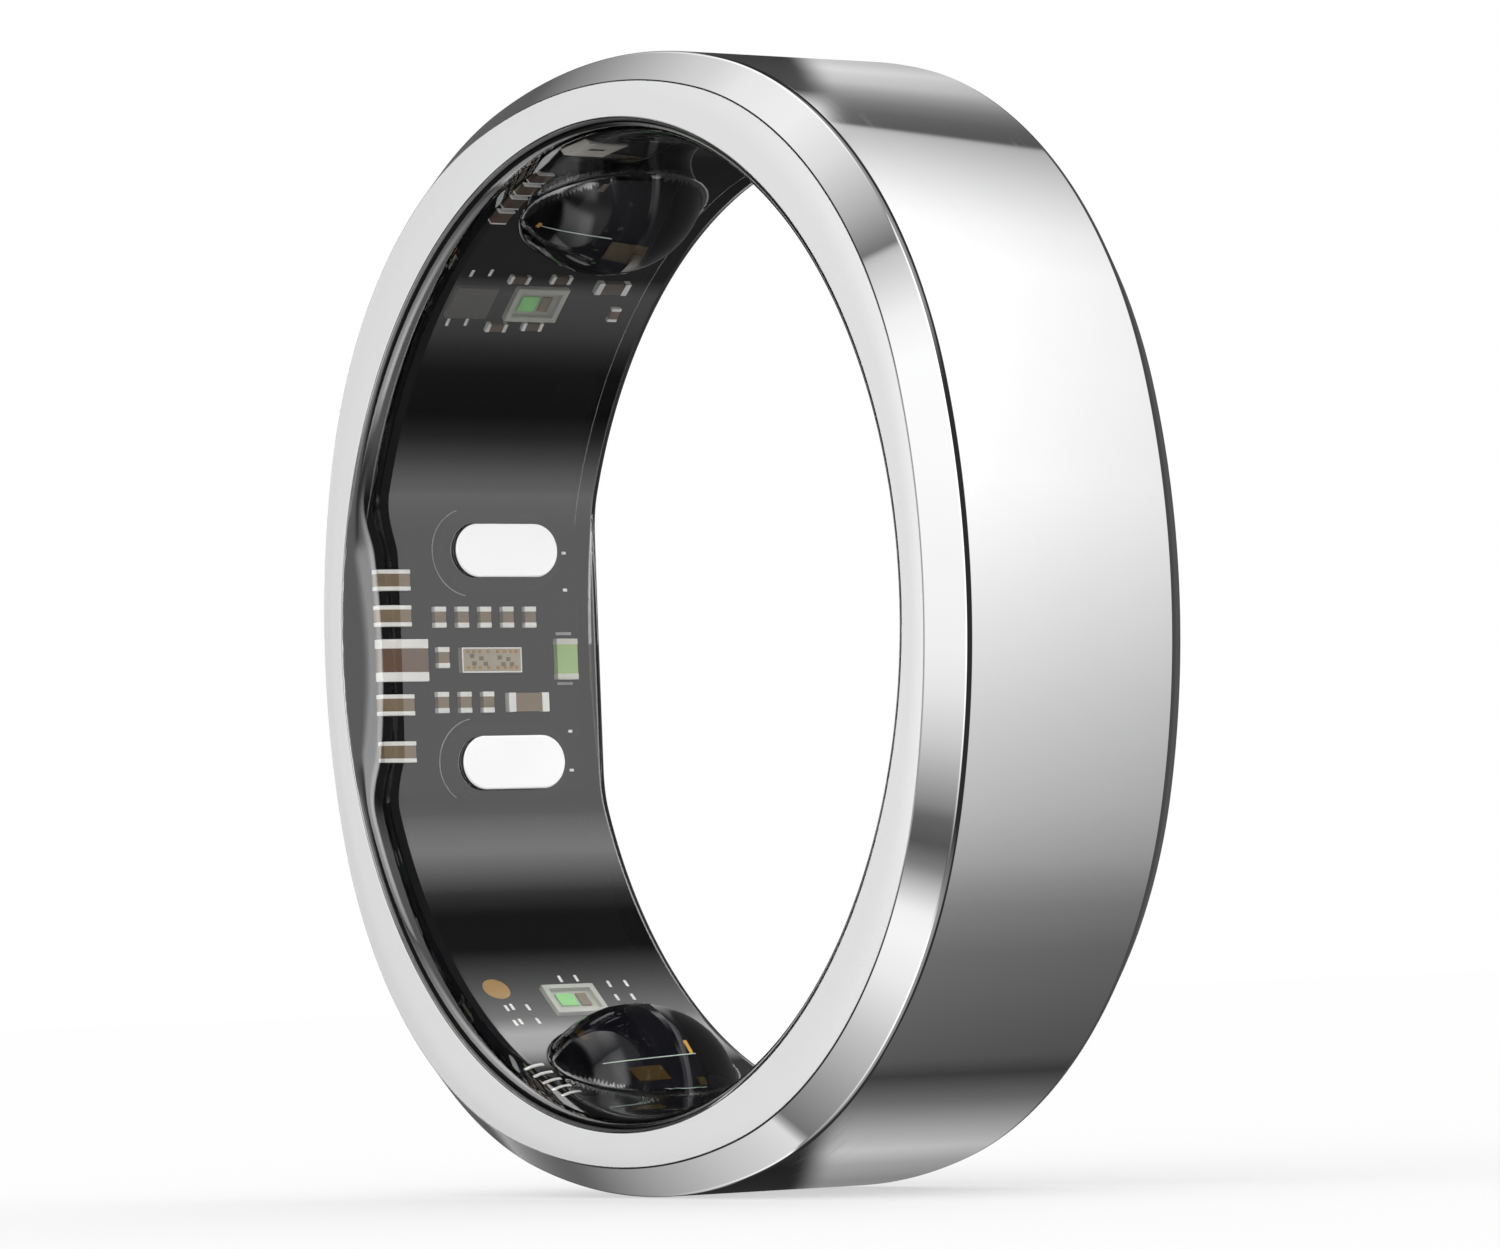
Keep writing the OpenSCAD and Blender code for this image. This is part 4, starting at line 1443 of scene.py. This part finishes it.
@dataclass
class Electronics:
    """Everything on the board that isn't a two-ended chip.

    A place on the round part is an angle and a share of the board's half width. The ups are
    heights on the flat, as shares of the contacts' spacing. The lead's path and the bonds are
    in shares of the lead's and the chip's own size, and the marks are in millimetres.
    """

    lead_path: tuple[Pair, ...] = ((-0.5, 0.0), (-0.42, 0.12), (-0.28, 0.4),
                                   (-0.05, 0.72), (0.2, 0.92), (0.5, 1.0))
    lead_sharp: float = 50.0
    lead_size: Triple = (0.1, 0.42, 0.3)
    lead_thick: float = 0.05
    lead_angles: tuple[float, ...] = (243.0, 245.1, 247.2, 249.4, 251.6)
    lead_along: float = -0.87
    pad_high: float = 0.03
    pad_bevel: float = 0.01
    pad_places: tuple[Pair, ...] = (
        (128.7, -0.76), (128.5, -0.58), (136.6, -0.76), (136.5, -0.58), (229.7, -0.63),
        (229.5, -0.57), (229.7, -0.42), (232.6, -0.65), (232.4, -0.59), (232.4, -0.42),
        (224.8, 0.07), (224.8, 0.23), (226.0, 0.52), (226.0, 0.69), (228.5, 0.51), (228.5, 0.67))
    via_ups: tuple[float, ...] = (0.478, 0.302, -0.37, -0.556)
    via_at: float = 2.53
    antenna_pad_ups: tuple[float, ...] = (0.094, -0.143)
    disc_r: float = 0.35
    disc_top_r: float = 0.34
    disc_steps: int = 48
    chip: Triple = (0.6, 1.68, 0.28)
    chip_bevel: float = 0.015
    bond: Triple = (0.07, 0.09, 0.02)
    bond_ups: tuple[float, ...] = (-0.34, 0.3)
    bond_alongs: tuple[float, ...] = (-0.4, -0.3, -0.2, -0.06, 0.1, 0.22, 0.32, 0.41)
    rail: Pair = (0.03, 0.02)
    rail_bevel: float = 0.004
    mark: Triple = (0.1, 0.12, 0.015)
    mark_bevel: float = 0.006
    mark_places: tuple[Pair, ...] = ((0.08, -0.5), (-0.04, -0.3), (0.09, -0.18), (-0.06, 0.22),
                                     (0.1, 0.32), (-0.02, 0.46), (0.1, 0.56), (-0.1, -0.56))
    power: Triple = (0.94, 1.12, 0.26)
    power_bevel: float = 0.02

    def lead(self) -> bpy.types.Mesh:
        """Bends a flat lead that rises from the board and turns over.

        Returns:
            The lead's mesh, in metres.
        """
        wide, long, high = self.lead_size
        outer = np.array([(along * long, rise * high) for along, rise in self.lead_path])
        slope = np.gradient(outer, axis=0)
        slope /= np.linalg.norm(slope, axis=1, keepdims=True)
        inner = outer + np.column_stack([slope[:, 1], -slope[:, 0]]) * self.lead_thick
        inner[:, 0] = np.minimum(inner[:, 0], long / 2)
        inner[:, 1] = np.maximum(inner[:, 1], 0)
        loop = np.vstack([outer, inner[::-1]])
        count = len(loop)
        spots = [np.column_stack([np.full(count, side * wide / 2), loop[:, 0], loop[:, 1]])
                 for side in (-1, 1)]
        return mesh_from("bent_leads", np.vstack(spots), loop_faces(count, 2, closed=False),
                         self.lead_sharp)

    def pads(self) -> None:
        """Sets the bare pads, the round gold pad and the solder bars."""
        bars = [on_board(angle, share, 0.22) for angle, share in self.pad_places]
        vias = [on_flat(up, self.via_at / RING.board_half) for up in self.via_ups]
        strips = [on_flat(up, 0.87) for up in self.antenna_pad_ups]
        for name, long, wide, spots, finish in (
                ("board_pads", 0.22, 0.08, bars, TIN), ("via_pads", 0.07, 0.12, vias, TIN),
                ("antenna_pads", 0.07, 0.44, strips, GREY_END_AND_SEAM_HIGHLIGHT)):
            block = ((long, wide, self.pad_high), self.pad_bevel)
            blocks_on_board(name, [block], spots, finish, "cap_ends", "test_pads")
        leads = [on_board(angle, self.lead_along, self.lead_size[0]) for angle in self.lead_angles]
        set_on_board("bent_leads", self.lead(), leads, TIN, "cap_ends", "solder_bars")
        disc = bmesh.new()
        bmesh.ops.create_cone(disc, cap_ends=True, segments=self.disc_steps,
                              radius1=self.disc_r * MM, radius2=self.disc_top_r * MM,
                              depth=self.pad_high * MM)
        bmesh.ops.translate(disc, vec=(0, 0, self.pad_high / 2 * MM), verts=disc.verts)
        round_pad = joined_mesh("round_gold_pad", [disc])
        spot = on_board(226.2, -0.61, 2 * self.disc_r)
        set_on_board("round_gold_pad", round_pad, [spot], GOLD, "gold", "gold_pad")

    def chips(self) -> None:
        """Sets the bare signal chip with its bonds, frame and marks, and the power chip."""
        spot = [on_flat(-0.031, 0.1)]
        long, wide, top = self.chip
        blocks_on_board("bonded_chip", [(self.chip, self.chip_bevel)], spot, DIE, "chip_die",
                        "signal_chip")
        bonds = [(self.bond, self.mark_bevel, (up * long, along * wide, top))
                 for up in self.bond_ups for along in self.bond_alongs]
        blocks_on_board("bond_pads", bonds, spot, GOLD, "gold", "signal_chip_pads")
        thin, high = self.rail
        rails = [((thin, wide, high), self.rail_bevel, (side * (long - thin) / 2, 0, top))
                 for side in (-1, 1)]
        rails += [((long - 2 * thin, thin, high), self.rail_bevel,
                   (0, side * (wide - thin) / 2, top)) for side in (-1, 1)]
        blocks_on_board("chip_frame", rails, spot, TIN, "cap_ends", "signal_chip_pads")
        marks = [(self.mark, self.mark_bevel, (up, along, top)) for up, along in self.mark_places]
        blocks_on_board("chip_marks", marks, spot, BRONZE_DIE, "chip_die", "signal_chip_pads")
        blocks_on_board("square_chip", [(self.power, self.power_bevel)],
                        [on_board(133.1, -0.64, self.power[0])], GREY_CHIP, "power_chip",
                        "power_chip")

    def nodes(self) -> None:
        """Dresses the construction nodes that keep their own shape."""
        finishes = {
            "black_potting": POTTING, "battery_cell": FOIL, "battery_tape": TAPE,
            "battery_tabs": NICKEL, "protection_board": BOARD_GREEN,
            "protection_chips": DARK_CHIP, "bridge_strips": NICKEL, "contact_collars": COLLAR,
            "surface_sensor": SENSOR, "surface_sensor_window": DARK_CHIP,
            "temperature_chip": DARK_CHIP, "processor_chip": DARK_CHIP, "motion_chip": DARK_CHIP,
            "charger_chip": DARK_CHIP, "crystal": NICKEL, "photodiode_pads": AMBER_AND_SHEEN,
        }
        for name, finish in finishes.items():
            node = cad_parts[name]
            node.data.materials.clear()
            node.data.materials.append(finish.material())
            LOG.info("%s: %s", name, finish.name)


# Studio


@dataclass(frozen=True)
class Glow:
    """A ring of light round the part, as levels at angles from -180 to 180 degrees."""

    stops: tuple[Pair, ...]

    def socket(self, bench: Bench, turn: bpy.types.NodeSocket) -> bpy.types.NodeSocket:
        """Builds the level as a colour ramp.

        Args:
            bench: The tree.
            turn: The angle as a share of a full turn, 0 at -180 degrees.

        Returns:
            The level's socket.
        """
        peak = max(level for _, level in self.stops)
        node = bench.add("ShaderNodeValToRGB", {"Fac": turn})
        marks = node.color_ramp.elements
        places = [(angle + 180) / 360 for angle, _ in self.stops]
        shades = [rgba((level / peak,) * 3) for _, level in self.stops]
        marks[0].position, marks[0].color = places[0], shades[0]
        marks[-1].position, marks[-1].color = places[-1], shades[-1]
        for place, shade in zip(places[1:-1], shades[1:-1]):
            marks.new(place).color = shade
        return bench.math("MULTIPLY", node.outputs["Color"], peak)


@dataclass(frozen=True)
class TentSteps:
    """Where the parts of the tent start and end.

    A pair holds the two ends of a smooth step. The first group is measured along the ring's axis,
    as a share from -1 to 1; the second is measured from the low part's curved edge; the third
    group is angles in radians round the axis, and the last holds the low part's own shape.
    """

    wall: Pair = (0.5, 0.512)
    band: Pair = (0.57, 0.575)
    behind: Pair = (0.625, 0.66)
    patch_along: Pair = (0.25, 0.05)
    face_along: Pair = (-0.2, -0.35)
    crest: Pair = (0.08, 0.2)
    shade: Pair = (0.27, 0.4)
    pole: Pair = (-0.06, -0.16)
    band_tilt: Pair = (0.3, 1.5)
    patch_start: Pair = (0.5, 0.9)
    patch_end: Pair = (2.1, 1.7)
    near_face: Pair = (0.72, 0.86)
    level_out: Pair = (0.5, 0.25)
    curve: Triple = (0.006, 0.1, -0.81)
    highest: float = 0.42
    crest_gain: float = 0.5
    band_middle: float = 0.604
    tilt_gain: float = 0.8
    band_fade: float = -8.0


@dataclass
class Studio:
    """Camera, floor, plain light and the tent that polished parts mirror."""

    azimuth: float = 55.5136
    elevation: float = -3.0447
    roll: float = -2.1949
    distance: float = 152.782
    lens: float = 162.58
    shift: Pair = (0.01349, 0.00013)
    sensor: float = 36.0
    clip: Pair = (0.01, 10.0)
    floor_size: float = 3000.0
    floor_gap: float = 0.02
    floor_grey: float = 0.33
    floor_glow: float = 0.2
    tent_r: float = 1400.0
    tent_faces: tuple[int, int] = (96, 48)
    steps: TentSteps = TentSteps()
    band: Glow = Glow((
        (-180, 0.2), (-163, 0.24), (-151, 0.38), (-139, 0.62), (-127, 0.44), (-115, 0.19),
        (-104, 0.06), (-98, 0.12), (-85, 0.15), (-66, 0.2), (-54, 0.29), (-48, 0.38), (-42, 0.5),
        (-29, 0.67), (-16, 0.87), (-3, 1.08), (11, 1.31), (20, 1.43), (37, 1.47), (62, 1.48),
        (74, 1.33), (86, 1.03), (99, 0.7), (102.5, 0.62), (104, 0.12), (111, 0.16), (117, 0.25),
        (123, 0.41), (129, 0.62), (141, 0.73), (152, 0.54), (180, 0.3)))
    wall: Glow = Glow((
        (-180, 0.03), (-150, 0.02), (-126, 0.04), (-97, 0.06), (-92, 0.24), (-85, 0.22),
        (-79, 0.17), (-74, 0.09), (-68, 0.03), (-56, 0.02), (-50, 0.08), (-45, 0.24), (-39, 0.5),
        (-33, 0.65), (-26, 0.62), (-8, 0.58), (3, 0.55), (9, 0.55), (30, 0.52), (42, 0.55),
        (48, 0.8), (53, 0.92), (59, 0.53), (65, 0.14), (71, 0.03), (82, 0.03), (94, 0.35),
        (106, 0.7), (112, 1.45), (119, 1.2), (129, 0.1), (180, 0.03)))
    front: Glow = Glow((
        (-180, 0.14), (-160, 0.11), (-154, 0.18), (-142, 0.55), (-131, 0.88), (-119, 1.14),
        (-117.5, 0.25), (-105, 0.52), (-92, 0.85), (-78, 1.3), (-67, 1.46), (-61, 1.4),
        (-50, 0.33), (-44, 0.14), (-37, 0.2), (-22, 0.95), (-14, 1.23), (-6, 1.38), (25, 1.51),
        (46, 1.57), (57, 1.4), (68, 0.98), (71.5, 0.85), (73, 0.26), (83, 0.69), (96, 1.14),
        (108, 1.36), (122, 1.26), (132, 0.95), (145, 0.44), (154, 0.14), (180, 0.14)))
    face_side: Triple = (-0.83, -0.55, 0.06)
    face_level: float = 0.3
    face_slope: float = -2.2
    pole_level: float = 0.5
    shade_level: float = 0.04
    patch_level: float = 0.4
    behind_level: float = 0.1
    through_level: float = 0.02
    inside_level: float = 3.6
    world_level: float = 2.4

    def camera(self) -> None:
        """Sets the camera at the photograph's angle."""
        turn, lift = math.radians(self.azimuth), math.radians(self.elevation)
        back = Vector((math.sin(turn) * math.cos(lift), -math.cos(turn) * math.cos(lift),
                       math.sin(lift)))
        right = (-back).cross(Vector((0, 0, 1))).normalized()
        up = right.cross(-back)
        spin = math.radians(self.roll)
        side = right * math.cos(spin) + up * math.sin(spin)
        top = up * math.cos(spin) - right * math.sin(spin)
        data = bpy.data.cameras.new("camera")
        data.sensor_width, data.lens = self.sensor, self.lens
        data.shift_x, data.shift_y = self.shift
        data.clip_start, data.clip_end = self.clip
        camera = bpy.data.objects.new("camera", data)
        turned = Matrix((side, top, back)).transposed().to_4x4()
        camera.matrix_world = Matrix.Translation(back * self.distance * MM) @ turned
        bpy.context.scene.collection.objects.link(camera)
        bpy.context.scene.camera = camera

    def floor(self) -> None:
        """Lays the pale floor under the ring."""
        half = self.floor_size / 2 * MM
        mesh = bpy.data.meshes.new("floor")
        low = -RING.half_across * MM - self.floor_gap * MM
        corners = [(-half, -half, low), (half, -half, low), (half, half, low), (-half, half, low)]
        mesh.from_pydata(corners, [], [(0, 1, 2, 3)])
        floor = make_object("floor", mesh)
        made = node_material("pale_floor")
        shader = made.node_tree.nodes["Principled BSDF"]
        Bench(made.node_tree).feed(shader, {
            "Base Color": rgba((self.floor_grey,) * 3), "Roughness": 1.0,
            "Specular IOR Level": 0.0, "Emission Color": rgba((1, 1, 1)),
            "Emission Strength": self.floor_glow})
        mesh.materials.append(made)
        floor.visible_glossy = False

    def tent(self) -> None:
        """Hangs the far light tent, which only mirrors and clear parts see.

        Its light depends on the direction alone. The chamfer mirrors it low along the ring's
        axis, and the inner wall and the band mirror two thin rings of it higher up, so each has
        its own levels. The resin's lips and domes sweep over the dark part between them.
        """
        ball = bmesh.new()
        round_faces, high_faces = self.tent_faces
        bmesh.ops.create_uvsphere(ball, u_segments=round_faces, v_segments=high_faces,
                                  radius=self.tent_r * MM)
        bmesh.ops.reverse_faces(ball, faces=ball.faces)
        mesh = bpy.data.meshes.new("light_tent")
        ball.to_mesh(mesh)
        ball.free()
        tent = make_object("light_tent", mesh)
        for ray in ("camera", "diffuse", "volume_scatter", "shadow"):
            setattr(tent, "visible_" + ray, False)
        made = node_material("tent_light")
        tree = made.node_tree
        tree.nodes.remove(tree.nodes["Principled BSDF"])
        bench = Bench(tree)
        place = bench.add("ShaderNodeTexCoord").outputs["Object"]
        unit = bench.add("ShaderNodeVectorMath", {0: place}, operation="NORMALIZE").outputs[0]
        parts = bench.add("ShaderNodeSeparateXYZ", {0: unit})
        along = parts.outputs["Y"]
        angle = bench.math("ARCTAN2", parts.outputs["Z"], parts.outputs["X"])
        turn = bench.math("MULTIPLY_ADD", angle, 1 / (2 * math.pi), 0.5)
        level = self.low_light(bench, unit, along, angle, turn)
        steps = self.steps
        wall = self.wall.socket(bench, turn)
        level = bench.mix_value(bench.ramp(along, *steps.wall), level, wall)
        high = bench.math("SUBTRACT", along, steps.band_middle)
        lean = bench.math("MULTIPLY", bench.ramp(angle, *steps.band_tilt), steps.tilt_gain)
        tilt = bench.math("MULTIPLY", high, lean)
        fade = bench.math("MULTIPLY_ADD", high, steps.band_fade, 1.0)
        band = bench.math("MULTIPLY", self.band.socket(bench, bench.math("ADD", turn, tilt)), fade)
        level = bench.mix_value(bench.ramp(along, *steps.band), level, band)
        level = bench.mix_value(bench.ramp(along, *steps.behind), level, self.behind_level)
        path = bench.add("ShaderNodeLightPath")
        level = bench.mix_value(path.outputs["Is Transmission Ray"], level, self.through_level)
        lit = bench.math("GREATER_THAN", path.outputs["Diffuse Depth"], 0.5)
        level = bench.mix_value(lit, level, self.inside_level)
        light = bench.add("ShaderNodeEmission", {"Strength": level})
        bench.feed(tree.nodes["Material Output"], {"Surface": light.outputs[0]})
        mesh.materials.append(made)

    def low_light(self, bench: Bench, unit: bpy.types.NodeSocket, along: bpy.types.NodeSocket,
                  angle: bpy.types.NodeSocket, turn: bpy.types.NodeSocket) -> bpy.types.NodeSocket:
        """Builds the part of the tent below the rings that the wall and the band mirror.

        Args:
            bench: The tent's tree.
            unit: The direction on the tent.
            along: Its share along the ring's axis, from -1 to 1.
            angle: Angle round that axis, in radians.
            turn: The same angle as a share of a full turn.

        Returns:
            The level's socket.
        """
        steps = self.steps
        steep, bent, lowest = steps.curve
        square = bench.math("MULTIPLY", angle, angle)
        curve = bench.math("MULTIPLY_ADD", square, steep, bent)
        edge = bench.math("MINIMUM", bench.math("MULTIPLY_ADD", square, curve, lowest),
                          steps.highest)
        past = bench.math("SUBTRACT", along, edge)
        crest = bench.math("MULTIPLY_ADD", bench.ramp(past, *steps.crest), steps.crest_gain, 1.0)
        front = bench.math("MULTIPLY", self.front.socket(bench, turn), crest)
        wide = bench.math("ABSOLUTE", angle)
        patch = bench.math("MULTIPLY", bench.ramp(wide, *steps.patch_start),
                           bench.ramp(wide, *steps.patch_end))
        patch = bench.math("MULTIPLY", patch, bench.ramp(along, *steps.patch_along))
        shade = bench.math("MULTIPLY_ADD", patch, self.patch_level, self.shade_level)
        level = bench.mix_value(bench.ramp(past, *steps.shade), front, shade)
        up = bench.add("ShaderNodeSeparateXYZ", {0: unit}).outputs["Z"]
        level_out = bench.ramp(bench.math("ABSOLUTE", up), *steps.level_out)
        pole = bench.math("MULTIPLY_ADD", level_out, self.pole_level, self.shade_level)
        level = bench.mix_value(bench.ramp(past, *steps.pole), level, pole)
        rise = bench.math("ADD", along, -self.face_side[1])
        face = bench.math("MULTIPLY_ADD", rise, self.face_slope, self.face_level)
        face = bench.math("MULTIPLY", bench.math("MAXIMUM", face, 0.0), level_out)
        middle = bench.add("ShaderNodeCombineXYZ", dict(zip("XYZ", self.face_side))).outputs[0]
        near = bench.add("ShaderNodeVectorMath", {0: unit, 1: middle},
                         operation="DOT_PRODUCT").outputs["Value"]
        face_share = bench.math("MULTIPLY", bench.ramp(near, *steps.near_face),
                                bench.ramp(along, *steps.face_along))
        return bench.mix_value(face_share, level, face)

    def world(self) -> None:
        """Fills the world with plain white light, which mirrors don't see."""
        world = bpy.data.worlds.new("plain_light")
        bpy.context.scene.world = world
        world.use_nodes = True
        bench = Bench(world.node_tree)
        path = bench.add("ShaderNodeLightPath")
        strength = bench.mix_value(path.outputs["Is Camera Ray"], self.world_level, 1.0)
        back = world.node_tree.nodes["Background"]
        bench.feed(back, {"Color": rgba((1, 1, 1)), "Strength": strength})
        world.cycles_visibility.glossy = False
        world.cycles_visibility.transmission = False

    def build(self) -> None:
        """Sets up the whole studio."""
        self.camera()
        self.world()
        self.floor()
        self.tent()
        bpy.context.scene.view_settings.view_transform = "Standard"


@dataclass
class SmartRing:
    """The whole ring, sub-assembly by sub-assembly."""

    shell: MetalShell = field(default_factory=MetalShell)
    lining: ResinLining = field(default_factory=ResinLining)
    board: CircuitBoard = field(default_factory=CircuitBoard)
    chips: ChipLayout = field(default_factory=ChipLayout)
    electronics: Electronics = field(default_factory=Electronics)

    def build(self) -> None:
        """Makes every piece."""
        self.shell.build()
        self.board.build()
        self.chips.build()
        LightPackage("upper_led", 133.1, 0.0).build()
        LightPackage("lower_led", 229.0, 0.06).build()
        upper, lower = self.lining.domes
        # Each sensor's first tuple lists the light strips that paint highlights on its edges.
        Photodiode("upper_photodiode", upper.angle, upper.offset, ((0.52, -0.62, 1.6),),
                   ((0.74, 0.55, 0.34, 0.66),), ((0.52, -1.46, 0.14, 0.1),)).build()
        # The lower sensor's amber place paints a faint brownish sheen.
        Photodiode("lower_photodiode", lower.angle, lower.offset,
                   ((-0.03, 0.0, 1.9), (1.13, 0.3, 1.0)), ((0.45, -0.2, 0.5, 0.7),),
                   ((-0.2, 0.88, 0.32, 0.06),)).build()
        Contact("upper_contact", 1).build()
        Contact("lower_contact", -1).build()
        self.electronics.pads()
        self.electronics.chips()
        self.electronics.nodes()
        self.lining.build()


def write_sizes() -> None:
    """Updates the view layer."""
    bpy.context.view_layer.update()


def main() -> None:
    """Builds the studio and the ring, and updates the view layer."""
    logging.basicConfig(level=logging.INFO, format="%(message)s")
    Studio().build()
    SmartRing().build()
    write_sizes()


if __name__ == "__main__":
    main()
